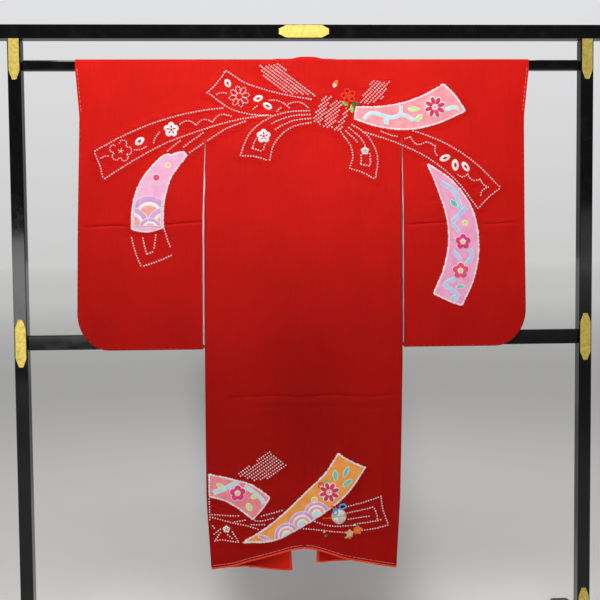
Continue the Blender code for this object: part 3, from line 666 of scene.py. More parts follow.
def front_face(side, across, z):
    """Front, measured across the cloth from the side seam, which turns back on itself."""
    edge, panel = seam_middle(z) + seam_half(z), hang_front(z)
    turn, share, radius = turn_at(z), flat_share(z), turn_radius(z)
    after = across - turn
    angle = np.clip(after / radius, 0.0, math.pi)
    beyond = np.maximum(after - math.pi * radius, 0.0)
    x = side_width(z) - np.minimum(across, turn) * share - radius * np.sin(angle) + beyond * share
    calm = ease(across / SIDE_BLEND) * ease(-after / SIDE_BLEND) * ease((1.2 - z) / 0.6)
    wave = FRONT_WAVE_DEPTH * np.sin(2 * math.pi * across / FRONT_WAVE_LENGTH)
    wave = wave - creases(PANEL_WIDTH - across, z) * CREASED_BEHIND
    flat = edge + (panel - edge) * ease(across / SIDE_BLEND) + wave * calm
    ripple = RIPPLE_DEPTH * np.sin(beyond * 95.0 + z * 7.0) * ease(beyond / 0.03) * ease((1.0 - z) / 0.5)
    y = np.where(after <= 0.0, flat, panel + radius * (1.0 - np.cos(angle)) + ripple)
    return hung(side, x, y, z)


def raised(hem, level):
    """Level of a row, where the hem isn't as high as it is at the side."""
    return hem + (UNDER_ROD - hem) * (level - HEM_LEVEL) / (UNDER_ROD - HEM_LEVEL)


def back_rows(side, part, level):
    """Back panel, part of the way out from the centre seam, in rows that follow its hem."""
    z = raised(HEM_LEVEL + arch_rise(side * part * side_width(level)), level)
    return back_face(side, part * side_width(z), z)


def front_rows(side, across, level):
    return front_face(side, across, raised(HEM_LEVEL + front_rise[side](across), level))


def levels_between(low, high, step):
    """Levels of the rows of a long sheet, closer together at its pressed creases."""
    even = np.linspace(low, high, int((high - low) / step) + 2)
    near = [crease[1] + offset for crease in PRESSED
            for offset in np.linspace(-CREASE_ROWS, CREASE_ROWS, 13)]
    near = [level for level in near if low + 0.002 < level < high - 0.002]
    merged = np.unique(np.round(np.concatenate((even, near)), 5))
    merged = merged[np.concatenate(([True], np.diff(merged) > CLOSEST_ROWS))]
    merged[-1] = high
    return merged


# Red crepe silk
# The kimono is cut from red silk crepe. Its twisted weft gives a fine pebbled surface with a soft sheen, the
# dye lies slightly uneven on it, and the silk is puckered where it was bound. Towards the hem its red is
# painted darker, as shade.
SILK_RED = (0.760, 0.0115, 0.0070)
SILK_DEEP = (0.600, 0.0075, 0.0048)
# painted shade: the darker reds that the silk takes towards the hem
SILK_LOW_SHADED = (0.430, 0.0050, 0.0032)
SILK_LOW_SHADED_DEEP = (0.320, 0.0034, 0.0024)
LINING_PALE = (0.78, 0.70, 0.76)
HEM_ORANGE = (1.00, 0.065, 0.014)
HEM_LINING_RED = (0.88, 0.032, 0.011)
LINING_PALE_DEEP = (0.66, 0.57, 0.65)
HEM_LINING_DEEP = (0.72, 0.022, 0.008)
HEM_LINING_STEP = (0.559, 0.561)

red_silk = Look("red_crepe_silk", {"Specular IOR Level": 0.06, "Sheen Weight": 0.02, "Sheen Roughness": 0.35,
                                   "Sheen Tint": (1.0, 0.45, 0.35, 1.0)})
right, up = red_silk.axis(0), red_silk.axis(2)
# painted shade: the red is darker lower down, for light that falls off towards the hem, and it is also
# darker along the middle of the lower back
middle = right.step(-0.17, -0.02) * (1 - right.step(0.05, 0.20))
middle = middle * (1 - up.step(0.60, 1.10)) * up.step(0.30, 0.60)
cloud = red_silk.noise(6.5, 3.0)
streak = red_silk.threads(420.0, 22.0)
weft = red_silk.threads(16.0, 520.0)
fine = red_silk.noise(950.0, 2.0)
tone = cloud.step(0.3, 0.72) * 0.42 + streak.step(0.35, 0.7) * 0.26 + weft.step(0.35, 0.7) * 0.08
tone = tone + fine.step(0.4, 0.75) * 0.14 + middle * 0.55
low_red_shaded, high_red = red_silk.mix(tone, SILK_LOW_SHADED, SILK_LOW_SHADED_DEEP), red_silk.mix(tone, SILK_RED, SILK_DEEP)
red_silk.feed("Base Color", red_silk.mix(up.step(0.50, 1.38), low_red_shaded, high_red))
red_silk.feed("Roughness", 0.52 + streak * 0.12)
pinched = red_silk.noise(230.0, 2.0) * 8.0 + red_silk.threads(60.0, 330.0, 1.0) * 15.0
pinched = pinched * red_silk.attribute("pucker")
red_silk.bump(fine * 0.45 + streak * 0.35 + weft * 0.15 + pinched, 0.00030, 0.7)

inner_silk = Look("lining_silk", {"Specular IOR Level": 0.35, "Sheen Weight": 0.15, "Roughness": 0.5})
inner_tone = inner_silk.noise(40.0, 3.0)
inner_pale = inner_silk.mix(inner_tone, LINING_PALE, LINING_PALE_DEEP)
inner_orange = inner_silk.mix(inner_tone, HEM_LINING_RED, HEM_LINING_DEEP)
inner_high = inner_silk.axis(2).step(*HEM_LINING_STEP)
inner_silk.feed("Base Color", inner_silk.mix(inner_high, inner_orange, inner_pale))
inner_silk.bump(inner_silk.threads(900.0, 60.0), 0.0002, 0.5)


def cloth_piece(node, sheets, wall, looks, outward, round_rim=0.0):
    """Sheets merged where they meet and given a thin wall, in place of the node of that name."""
    form = bmesh.new()
    for points in sheets:
        add_grid(form, points)
    bmesh.ops.remove_doubles(form, verts=form.verts, dist=DOUBLES)
    bmesh.ops.dissolve_degenerate(form, edges=form.edges, dist=DOUBLES / 2)
    bmesh.ops.recalc_face_normals(form, faces=form.faces)
    # the side that the wall takes its outer material on is told by the back of the piece
    rearmost = min(form.faces, key=lambda face: face.calc_center_median().y)
    if rearmost.normal.y * outward > 0.0:
        bmesh.ops.reverse_faces(form, faces=form.faces)
    # the cut edges stay sharp, so that they don't darken the cloth beside them
    for edge in form.edges:
        edge.smooth = not edge.is_boundary
    name = "silk_" + node
    piece = new_piece(name, finished(form, name), looks)
    shell = piece.modifiers.new("wall", "SOLIDIFY")
    shell.thickness = wall
    shell.offset = 0.0
    shell.use_even_offset = True
    shell.material_offset = len(looks) - 1
    if round_rim:
        rim = piece.modifiers.new("rounded rim", "BEVEL")
        rim.width = round_rim
        rim.segments = 2
        rim.limit_method = "ANGLE"
        rim.angle_limit = math.radians(50)
    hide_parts(node)
    return piece


# Body
# Each half of the body is one length of silk from the back hem over the shoulder to the front hem.
# The halves meet at the centre back seam and each is closed at its side seam, below the armhole.
BODY_STEP = 0.0052
SEAM_BULGE = 0.0008
NECK_COLUMNS, SHOULDER_COLUMNS = 16, 36
SIDES = (("left", -1), ("right", 1))

bodies = {}
body_levels = levels_between(HEM_LEVEL, UNDER_ROD, BODY_STEP)
neck = NECK_HALF / SIDE_HALF
inner_parts = np.linspace(0.0, neck, NECK_COLUMNS)
outer_parts = np.linspace(neck, 1.0, SHOULDER_COLUMNS)
for word, side in SIDES:
    under, inner = np.meshgrid(body_levels, inner_parts, indexing="ij")
    neck_lengths = np.linspace(-ROD_REACH, NECK_EDGE, 7)[1:]
    neck_over = over_rod(side * inner_parts[None, :] * SIDE_HALF, neck_lengths[:, None])
    inner_sheet = np.concatenate((back_rows(side, inner, under), neck_over))
    under, outer = np.meshgrid(body_levels, outer_parts, indexing="ij")
    rod_lengths = np.concatenate((neck_lengths, np.linspace(NECK_EDGE, ROD_REACH, 22)[1:-1]))
    shoulder = over_rod(side * outer_parts[None, :] * SIDE_HALF, rod_lengths[:, None])
    width = np.minimum(collar_seam(under), PANEL_WIDTH)
    back = back_rows(side, outer, under)
    front = front_rows(side, width * (1 - outer) / (1 - neck), under)
    closed = body_levels <= SIDE_SEAM_TOP
    fold = (back[closed, -1] + front[closed, -1]) / 2 + np.array((side * SEAM_BULGE, 0.0, 0.0))
    seam = np.stack((back[closed, -1], fold, front[closed, -1]), 1)
    outer_sheet = np.concatenate((back, shoulder, front[::-1]))
    bodies[word] = cloth_piece("body_" + word, (inner_sheet, outer_sheet, seam), SILK_WALL,
                               [red_silk, inner_silk], 1.0)


okumi_levels = levels_between(HEM_LEVEL, OKUMI_TIP, BODY_STEP)
# closer together where the panel turns back
okumi_widths = PANEL_WIDTH + SEAM_GAP + np.concatenate(
    ([0.0], np.linspace(0.0017, 0.0160, 9), np.linspace(0.021, 0.0747, 12)))
for word, side in SIDES:
    limit = np.minimum(collar_seam(okumi_levels), okumi_widths[-1])
    limit = np.where(okumi_levels > COLLAR_TIP, limit - SEAM_GAP, limit)[:, None]
    widths = np.where(limit - okumi_widths > 0.002, okumi_widths, np.maximum(limit, okumi_widths[0]))
    slanted = front_rows(side, widths, okumi_levels[:, None])
    low = okumi_levels[okumi_levels <= COLLAR_TIP - 0.0005]
    edge = front_rows(side, np.linspace(okumi_widths[-1], FRONT_WIDTH, 11)[None, :], low[:, None])
    cloth_piece("okumi_" + word, (slanted, edge), SILK_WALL, [red_silk, inner_silk],
                               -1.0)


# Collar
# A band folded double is sewn round the back of the neck and down both fronts. At the back of the
# neck it stands a little proud over the rod.
COLLAR_SHELL = 0.0018
COLLAR_RIM = 0.0007
# how far the collar stands out at its seam and further in, how far in that is, and how far down it ends
COLLAR_SEAM_LIFT, COLLAR_LIFT = 0.0002, 0.0016
COLLAR_LIFT_REACH = 0.022
COLLAR_LIFT_END = 0.040
# how far the collar lies over the silk at its seam
COLLAR_LAP = 0.0008
# how far it rises over the rod, and how much more where it is thickest, a little right of the middle
COLLAR_CROWN = 0.0002
COLLAR_BUMP = 0.0052
COLLAR_BUMP_AT, COLLAR_BUMP_HALF = 0.007, 0.030
# how wide the free edge runs behind the neck, as a share of its place further on
COLLAR_BACK_FREE = 0.85
COLLAR_COLUMNS = 19
COLLAR_TURNS_AT = 1.3580
# length along the cloth of a line across the collar beside the neck, at its seam, at its free edge
COLLAR_NECK_LINES = ((-0.0129, 0.0360), (-0.0095, 0.0375), (-0.0045, 0.0410), (0.0020, 0.0450),
                     (0.0100, 0.0500), (0.0200, 0.0570), (0.0340, 0.0660))


def collar_lift(from_seam):
    """How far the collar stands out, almost flush where it is sewn on."""
    return COLLAR_SEAM_LIFT + (COLLAR_LIFT - COLLAR_SEAM_LIFT) * ease(from_seam / COLLAR_LIFT_REACH)


def collar_face(side, x, length):
    """Collar over the rod at the neck, then on along the front."""
    crown = COLLAR_CROWN + COLLAR_BUMP * np.exp(-((side * x - COLLAR_BUMP_AT) / COLLAR_BUMP_HALF) ** 4)
    rises = ease((length - NECK_EDGE) / (2 * ROD_FLAT))
    falls = 1 - ease((length - ROD_FLAT) / (ROD_REACH - ROD_FLAT))
    lift = collar_lift(np.minimum(length - NECK_EDGE, NECK_HALF - x))
    above = over_rod(side * x, length, lift + crown * rises * falls)
    below = front_face(side, SIDE_HALF - x, UNDER_ROD - (length - ROD_REACH))
    below[..., 1] += collar_lift(NECK_HALF - x) * (1 - ease((length - ROD_REACH) / COLLAR_LIFT_END))
    return np.where((length > ROD_REACH)[..., None], below, above)


seam_x, free_x = NECK_HALF + COLLAR_LAP, NECK_HALF - COLLAR_WIDTH
seam_start, free_start = NECK_EDGE - COLLAR_LAP, NECK_EDGE + COLLAR_WIDTH
lines = [(seam_x * out, seam_start, free_x * COLLAR_BACK_FREE * out, free_start)
         for out in np.linspace(0.0, 1.0, 16)]
lines += [(seam_x, at_seam, free_x, at_free) for at_seam, at_free in curve_through(COLLAR_NECK_LINES, 28)]
lines = np.array(lines)
collar_parts = np.linspace(0.0, 1.0, COLLAR_COLUMNS)[None, :]
neck_x = lines[:, 0:1] + (lines[:, 2:3] - lines[:, 0:1]) * collar_parts
neck_length = lines[:, 1:2] + (lines[:, 3:4] - lines[:, 1:2]) * collar_parts
seam_level, free_level = (
    np.concatenate((np.linspace(top, COLLAR_TURNS_AT, 6), np.linspace(COLLAR_TURNS_AT, COLLAR_TIP, 92)[1:]))
    for top in (1.3900, 1.3612))
across = collar_seam(seam_level)[:, None] - COLLAR_LAP + COLLAR_WIDTH * collar_parts
level = seam_level[:, None] + (free_level - seam_level)[:, None] * collar_parts
front_lift = collar_lift(COLLAR_WIDTH * collar_parts) * ease(1 - (UNDER_ROD - level) / COLLAR_LIFT_END)
collar_rows = {}
for side in (-1, 1):
    front = front_rows(side, across, level)
    front[..., 1] += front_lift
    front[-1, :, 2] += 2 * SEAM_GAP
    collar_rows[side] = np.concatenate((collar_face(side, neck_x, neck_length), front))
collar = cloth_piece("collar", (np.concatenate((collar_rows[-1][::-1], collar_rows[1][1:])),),
                     COLLAR_SHELL, [red_silk], -1.0, COLLAR_RIM)


# Sleeves
# Each sleeve is one strip of silk folded at the shoulder and closed along its outer edge and its
# bottom, with a rounded corner. The cuff stays open, and so does the whole inner edge.
SLEEVE_STEP = 0.0052
SLEEVE_COLUMNS = 58
CORNER_STEPS = 16
CORNER_WIDTH = 0.075
CORNER_HEIGHT = 0.090
EDGE_BULGE = 0.0009
# how far in the creases of a sleeve start, from its outer edge, its inner edge and its bottom
CALM_OUTER, CALM_INNER, CALM_LOW = 0.035, 0.015, 0.030
CALM_FROM = 0.236
# how much lower the creases of the front layer lie than those of the back layer
CREASES_LOWER = 0.06


def sleeve_face(side, x, z, outer, layer):
    """One layer of the sleeve, the two drawn together along the closed outer edge."""
    back, front = sleeve_back(z), sleeve_front(z)
    middle, half_gap = (back + front) / 2, (front - back) / 2
    edge = sleeve_edge(z)
    inward = ease((outer - x) / SIDE_BLEND)
    half_gap = edge + (half_gap - edge) * inward
    calm = ease((outer - x) / CALM_OUTER) * ease((x - CALM_FROM) / CALM_INNER)
    calm = calm * ease((z - SLEEVE_BOTTOM) / CALM_LOW)
    wrinkles = creases(side * x, z) if layer < 0 else -creases(side * x, z + CREASES_LOWER) * CREASED_BEHIND
    return hung(side, x, middle + layer * half_gap + wrinkles * calm, z)


sleeves = {}
corner_turn = np.linspace(math.pi / 2, 0.0, CORNER_STEPS + 1)
corner_levels = SLEEVE_BOTTOM + CORNER_HEIGHT * (1 - np.sin(corner_turn))
upper_levels = levels_between(corner_levels[-1], UNDER_ROD, SLEEVE_STEP)[1:]
sleeve_levels = np.concatenate((corner_levels, upper_levels))
drawn_in = np.concatenate((CORNER_WIDTH * (1 - np.cos(corner_turn)), np.zeros(len(upper_levels))))
edge_way = np.stack((np.concatenate((np.cos(corner_turn), np.ones(len(upper_levels)))),
                     np.concatenate((-np.sin(corner_turn), np.zeros(len(upper_levels))))), -1)
inner, outer = sleeve_inner(sleeve_levels), sleeve_outer(sleeve_levels) - drawn_in
x = inner[:, None] + (outer - inner)[:, None] * np.linspace(0.0, 1.0, SLEEVE_COLUMNS + 1)[None, :]
rod_lengths = np.linspace(-ROD_REACH, ROD_REACH, 21)[1:-1]
closed = sleeve_levels <= CUFF_END
for word, side in SIDES:
    layers = [sleeve_face(side, x, sleeve_levels[:, None], outer[:, None], layer) for layer in (-1, 1)]
    top = over_rod(side * x[-1][None, :], rod_lengths[:, None])
    sheet = np.concatenate((layers[0], top, layers[1][::-1]))
    bulge = np.stack((side * edge_way[:, 0], np.zeros(len(edge_way)), edge_way[:, 1]), -1) * EDGE_BULGE
    fold = (layers[0][:, -1] + layers[1][:, -1]) / 2 + bulge
    outer_edge = np.stack((layers[0][:, -1], fold, layers[1][:, -1]), 1)[closed]
    under = (layers[0][0] + layers[1][0]) / 2 + np.array((0.0, 0.0, -EDGE_BULGE))
    bottom = np.stack((layers[0][0], under, layers[1][0]), 1)
    sleeves[word] = cloth_piece("sleeve_" + word, (sheet, outer_edge, bottom), SILK_WALL,
                                [red_silk, inner_silk], 1.0)


# Sleeve linings
# The pale lining of the sleeves shows as a narrow strip along the open inner edge of both layers, eased a
# little past the red silk. The front layer's strip on the right sleeve takes a darker copy of it, as painted
# shade.
LINING_SHELL = 0.0007
LINING_INSIDE = 0.010
LINING_LOW, LINING_HIGH = 0.741, 1.232
LINING_RIPPLE = 0.0004
# from the middle of the silk to the middle of its lining
LINING_BELOW = 0.0015 / 2 + SEAM_GAP + 0.0010 / 2
# layer of the sleeve, side that it is on, how far its lining shows on the left sleeve and the right
LINING_SHOWS = (("back", -1, 0.0032, 0.0014), ("front", 1, 0.0046, 0.0048))
# length over which it comes out from behind the silk
LINING_FADE = 0.110
# painted shade: a darker copy of the pale lining, for the front strip of the right sleeve, which lies in
# shade
LINING_SHADED, LINING_SHADED_DEEP = (0.36, 0.31, 0.33), (0.28, 0.23, 0.26)

pale_silk = Look("pale_lining_silk", {"Specular IOR Level": 0.4, "Sheen Weight": 0.2, "Roughness": 0.45})
pale_tone = pale_silk.threads(60.0, 25.0)
pale_silk.feed("Base Color", pale_silk.mix(pale_tone.step(0.3, 0.7), LINING_PALE, (0.66, 0.55, 0.66)))
pale_silk.bump(pale_silk.threads(900.0, 80.0), 0.0002, 0.5)
shaded_silk = Look("shaded_lining_silk", {"Specular IOR Level": 0.3, "Roughness": 0.5})
shaded_tone = shaded_silk.noise(60.0)
shaded_silk.feed("Base Color", shaded_silk.mix(shaded_tone, LINING_SHADED, LINING_SHADED_DEEP))

linings = {"left": [], "right": []}
lining_levels = np.linspace(LINING_LOW, LINING_HIGH, 90)[:, None]
edge = sleeve_inner(lining_levels)
for word, side in SIDES:
    for layer, way, left, right in LINING_SHOWS:
        shows, silk = (left, pale_silk) if side < 0 else (right, pale_silk if way < 0 else shaded_silk)
        past = 0.0002 + shows * ease((LINING_HIGH - lining_levels) / LINING_FADE)
        x = edge + np.linspace(-past, LINING_INSIDE, 6)[..., 0].T
        strip = sleeve_face(side, x, lining_levels, sleeve_outer(lining_levels), way)
        strip[..., 1] -= way * LINING_BELOW
        strip[..., 0] += LINING_RIPPLE * np.sin(lining_levels * 75.0 + way) * ease((edge - x) / shows)
        linings[word].append(cloth_piece("sleeve_lining_" + word + "_" + layer, (strip,), LINING_SHELL,
                                         [silk], 1.0))


# Hem rolls and hem lining
# The orange-red hem lining is turned out below the red silk as a padded roll, which weights the hem. The
# same silk lines the lower part of the fronts, where the risen hem of the back shows it, and there it is
# painted darker, as shade.
FUKI_HEIGHT = 0.0045
FUKI_WALL = 0.0030
FUKI_SIDES = 12
HEM_LINING_HEIGHT = 0.150

hem_silk = Look("orange_red_silk", {"Specular IOR Level": 0.2, "Sheen Weight": 0.05})
hem_tone = hem_silk.noise(14.0, 3.0)
hem_silk.feed("Base Color", hem_silk.mix(hem_tone.step(0.3, 0.75), HEM_ORANGE, (0.92, 0.045, 0.011)))
hem_silk.feed("Roughness", 0.40 + hem_tone * 0.15)
hem_silk.bump(hem_silk.threads(900.0, 120.0), 0.0002, 0.6)

# painted shade: the lining of the left front is darker towards its side, where the back panel shades it, and
# that of the right one, which lies all in shade, is evenly darker
hem_lining_shaded = Look("hem_lining_silk", {"Specular IOR Level": 0.06, "Roughness": 0.5})
right = hem_lining_shaded.axis(0)
lining_left_shaded = hem_lining_shaded.mix(right.step(-0.16, -0.02), (0.34, 0.003, 0.002), (0.84, 0.018, 0.006))
linings_shaded = hem_lining_shaded.mix(right.step(-0.012, -0.008), lining_left_shaded, (0.54, 0.005, 0.002))
hem_lining_shaded.feed("Base Color", linings_shaded)

rolls = {"left": [], "right": []}
okumi_turn = np.linspace(0.0, 0.0160, 10) + PANEL_WIDTH
widths = np.concatenate((np.linspace(FUKI_WALL / 2, 0.196, 60), okumi_turn, np.linspace(0.220, 0.324, 30)))
across = np.linspace(0.004, PANEL_WIDTH, 34)[None, :]
rise = np.linspace(0.0, HEM_LINING_HEIGHT, 30)[:, None]
for word, side in SIDES:
    back_path = back_rows(side, np.linspace(0.004, 1.0, 90), HEM_LEVEL)
    front_path = front_rows(side, widths, HEM_LEVEL)
    for place, path in (("back", back_path), ("front", front_path)):
        path = path - np.array((0.0, 0.0, SEAM_GAP + FUKI_HEIGHT / 2))
        form = bmesh.new()
        # the tube's width lies across the hem and its height is the flattened side of it
        add_tube(form, path, FUKI_WALL / 2, FUKI_HEIGHT / FUKI_WALL, (0.0, 0.0, 1.0), FUKI_SIDES)
        name = "silk_fuki_" + place + "_" + word
        roll = new_piece(name, mesh_from(form, name), [hem_silk])
        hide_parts("fuki_" + place + "_" + word)
        rolls[word].append(roll)
    level = HEM_LEVEL + front_rise[side](across) + rise
    lining = front_face(side, np.broadcast_to(across, level.shape), level)
    lining[..., 1] -= LINING_BELOW
    rolls[word].append(cloth_piece("hem_lining_" + word, (lining,), LINING_SHELL, [hem_lining_shaded],
                                   -1.0))


# Ribbons of the design
# The design is a bundle of long ribbons tied in a knot between the shoulders, a traditional lucky
# motif. Some ribbons are only outlined with tied dots, and some are filled and painted.
RIM = 0.0042
PAINT_RISE = 0.00025
# ribbon: distance right of the middle, height, half width, from the knot or its upper end on
RIBBONS = {
    "upper_left": ((0.015, 1.310, 0.015), (-0.043, 1.312, 0.023), (-0.101, 1.318, 0.031),
                   (-0.157, 1.333, 0.035), (-0.205, 1.365, 0.034)),
    "left_sleeve": ((-0.091, 1.295, 0.007), (-0.175, 1.290, 0.016), (-0.258, 1.273, 0.023),
                    (-0.339, 1.248, 0.027), (-0.415, 1.213, 0.031), (-0.489, 1.171, 0.034)),
    "low_left": ((0.013, 1.284, 0.014), (-0.032, 1.278, 0.018), (-0.073, 1.259, 0.025),
                 (-0.105, 1.226, 0.032), (-0.120, 1.183, 0.035)),
    "low_right": ((0.102, 1.253, 0.016), (0.131, 1.224, 0.024), (0.144, 1.185, 0.030),
                  (0.136, 1.144, 0.033)),
    "right_sleeve": ((0.143, 1.258, 0.011), (0.229, 1.238, 0.019), (0.312, 1.204, 0.025),
                     (0.385, 1.153, 0.031), (0.445, 1.087, 0.037)),
    "pink": ((-0.307, 1.194, 0.0205), (-0.340, 1.157, 0.0260), (-0.363, 1.115, 0.0335),
             (-0.375, 1.070, 0.0370), (-0.377, 1.021, 0.0380)),
    "pink_end": ((-0.376, 1.009, 0.040), (-0.367, 0.976, 0.041), (-0.355, 0.944, 0.041)),
    "coral": ((0.122, 1.292, 0.015), (0.183, 1.283, 0.025), (0.245, 1.285, 0.033),
              (0.304, 1.301, 0.038), (0.360, 1.328, 0.041)),
    "orchid": ((0.297, 1.168, 0.002), (0.340, 1.114, 0.022), (0.372, 1.051, 0.033),
               (0.382, 0.980, 0.037), (0.371, 0.909, 0.039), (0.343, 0.844, 0.038)),
    "low_pink": ((-0.238, 0.402, 0.027), (-0.192, 0.391, 0.028), (-0.150, 0.372, 0.033),
                 (-0.114, 0.344, 0.035)),
    "orange": ((0.106, 0.457, 0.038), (0.069, 0.403, 0.037), (0.018, 0.357, 0.034),
               (-0.038, 0.315, 0.027), (-0.095, 0.281, 0.018), (-0.158, 0.261, 0.001)),
    "low_end": ((0.097, 0.313, 0.032), (0.142, 0.321, 0.034), (0.186, 0.333, 0.037)),
}


def silk_face(x, z):
    """How far back the outer face of the cloth lies, as seen from the camera's side."""
    local = x - sway(z)
    out, outer = np.abs(local), sleeve_outer(z)
    left, right = (np.where(out <= side_width(z), back_face(side, out, z)[..., 1],
                            sleeve_face(side, out, z, outer, -1)[..., 1]) for side in (-1, 1))
    return np.where(local < 0, left, right) - SILK_WALL / 2


def lay(spots, rise):
    """Points laid on the outer face of the cloth and risen from it, from their X and Z."""
    spots = np.asarray(spots, float)
    x, z, rise = np.broadcast_arrays(spots[..., 0], spots[..., 1], np.asarray(rise, float))
    return np.stack((x, silk_face(x, z) - rise, z), -1)


class Ribbon:
    """A ribbon's own coordinates: metres along its middle, and across from it."""

    def __init__(self, rows, count=160):
        self.line = curve_through(rows, count)
        self.ahead = np.gradient(self.line[:, :2], axis=0)
        self.ahead /= np.linalg.norm(self.ahead, axis=1)[:, None]
        self.across = np.stack((-self.ahead[:, 1], self.ahead[:, 0]), 1)
        steps = np.linalg.norm(np.diff(self.line[:, :2], axis=0), axis=1)
        self.run = np.concatenate(([0.0], np.cumsum(steps)))
        self.length = self.run[-1]

    def half(self, along):
        return np.interp(along, self.run, self.line[:, 2])

    def place(self, along, across):
        """X and Z of a point, which may lie past either end."""
        along, across = np.broadcast_arrays(np.asarray(along, float), np.asarray(across, float))
        beyond = along - np.clip(along, 0.0, self.length)
        spot = np.stack([np.interp(along, self.run, self.line[:, axis]) for axis in (0, 1)], -1)
        for way, far in ((self.across, across), (self.ahead, beyond)):
            turned = np.stack([np.interp(along, self.run, way[:, axis]) for axis in (0, 1)], -1)
            spot = spot + turned * far[..., None]
        return spot

    def hold(self, spots, margin):
        """Points moved in where they would lie outside the edges or ends, less a margin."""
        spots = np.asarray(spots, float)
        gap = spots[..., None, :] - self.line[:, :2]
        nearest = np.argmin((gap ** 2).sum(-1), -1)
        off = spots - self.line[nearest, :2]
        across = (off * self.across[nearest]).sum(-1)
        along = self.run[nearest] + (off * self.ahead[nearest]).sum(-1)
        along = np.clip(along, margin, self.length - margin)
        limit = np.maximum(self.half(along) - margin, 0.0002)
        return self.place(along, np.clip(across, -limit, limit))


ribbons = {name: Ribbon(rows) for name, rows in RIBBONS.items()}


# Tied dots
# Each dot was pinched up and bound with thread before the red dye, so it stays pale with a small
# red middle and stands up from the silk. Rows of dots outline the ribbons or fill whole bands.
DOT_RADIUS = 0.00182
DOT_HEIGHT = 0.00050
DOT_SUNK = 0.00005
DOT_PITCH = 0.0063
FILL_SPACING, FILL_PITCH = 0.0070, 0.0060
DOT_WHITE = (0.98, 0.90, 0.91)
DOT_PINK = (0.96, 0.72, 0.74)
DOT_RED = (0.74, 0.07, 0.06)
# how far a dot may lie off its place
DOT_STRAY = 0.0003
PUCKER_REACH = 0.024

dot_white = Look("tied_dot_silk", {"Specular IOR Level": 0.15, "Sheen Weight": 0.1, "Roughness": 0.6})
dot_shade = dot_white.noise(420.0, 2.0)
dot_white.feed("Base Color", dot_white.mix(dot_shade.step(0.35, 0.75), DOT_WHITE, DOT_PINK))
dot_white.bump(dot_white.noise(1600.0, 1.0), 0.0002, 0.5)


def build_dot():
    """Small squarish ring with a hollow in its middle, closed underneath."""
    form = bmesh.new()
    rings = ((1.0, 0.0), (0.98, 0.35), (0.62, 1.0), (0.30, 0.62))
    grid = []
    for share, rise in rings:
        row = []
        for step in range(9):
            angle = step * math.pi / 4
            radius = DOT_RADIUS * share * (1.0 + 0.07 * math.cos(4 * angle))
            row.append((radius * math.cos(angle), -DOT_HEIGHT * rise, radius * math.sin(angle)))
        grid.append(row)
    add_grid(form, np.array(grid))
    bmesh.ops.remove_doubles(form, verts=form.verts, dist=DOUBLES / 2)
    filled = bmesh.ops.holes_fill(form, edges=form.edges)["faces"]
    for face in filled:
        face.material_index = 1 if face.calc_center_median().y < -DOT_HEIGHT / 4 else 0
    return mesh_from(form, "tied_dot")


def spaced(path, pitch, start=0.0):
    """Points at an even pitch along a path of X and Z."""
    path = np.asarray(path, float)
    steps = np.linalg.norm(np.diff(path, axis=0), axis=1)
    run = np.concatenate(([0.0], np.cumsum(steps)))
    at = np.arange(start, run[-1] + 1e-6, pitch)
    return np.stack((np.interp(at, run, path[:, 0]), np.interp(at, run, path[:, 1])), -1)


def turned(x, z, along, across, degrees):
    """X and Z of points given along and across a direction from a middle."""
    angle = math.radians(degrees)
    return np.stack((x + along * math.cos(angle) - across * math.sin(angle),
                     z + along * math.sin(angle) + across * math.cos(angle)), -1)


def spoke(x, z, reach, angle):
    """X and Z of a point at a distance and an angle from a middle."""
    return x + reach * math.cos(angle), z + reach * math.sin(angle)


def arc(start, end, bow):
    """Line between two points, bowed to the left of the way that it runs."""
    start, end = np.array(start), np.array(end)
    t = np.linspace(0.0, 1.0, 24)[:, None]
    way = (end - start) / np.linalg.norm(end - start)
    return start + (end - start) * t + np.array((-way[1], way[0])) * bow * np.sin(math.pi * t)


draw = random.Random(7)
dots = []


def dot_line(path, pitch=DOT_PITCH, size=1.0):
    for x, z in spaced(path, pitch):
        dots.append((x + draw.uniform(-1, 1) * DOT_STRAY, z + draw.uniform(-1, 1) * DOT_STRAY, size))


# ribbon, then each line's share of the half width at its start and end, and the shares of the
# ribbon's length where it starts and ends
OUTLINED = (
    ("upper_left", ((-1, -1, 0.00, 1), (1, 1, 0.40, 1.035))),
    ("left_sleeve", ((-1, -1, 0.24, 0.985), (1, 1, 0.00, 1.02))),
    ("low_left", ((-1, -1, 0, 1.02), (1, 1, 0, 0.975), (-0.36, -0.40, 0, 0.50), (0.30, 0.26, 0, 0.50),
                  (-0.38, -0.38, 0.72, 0.87), (0.40, 0.40, 0.76, 0.87))),
    ("low_right", ((-1, -1, 0, 0.94), (1, 1, 0, 1.035), (-0.30, -0.20, 0, 0.36), (0.34, 0.30, 0, 0.46),
                   (-0.30, -0.30, 0.60, 0.80), (0.42, 0.42, 0.60, 0.80))),
    ("right_sleeve", ((1, 1, 0.32, 1), (-1, -1, 0.00, 1))),
    ("pink_end", ((-1, -1, 0, 1), (1, 1, 0, 0.80), (-0.36, -0.42, 0.12, 0.68), (0.42, 0.10, 0.12, 0.56))),
    ("low_end", ((1, 1, 0, 1), (-1, -1, 0.04, 1), (0.52, 0.48, 0, 0.74), (0.02, -0.06, 0, 0.58),
                 (-0.46, -0.50, 0.22, 0.84))),
)
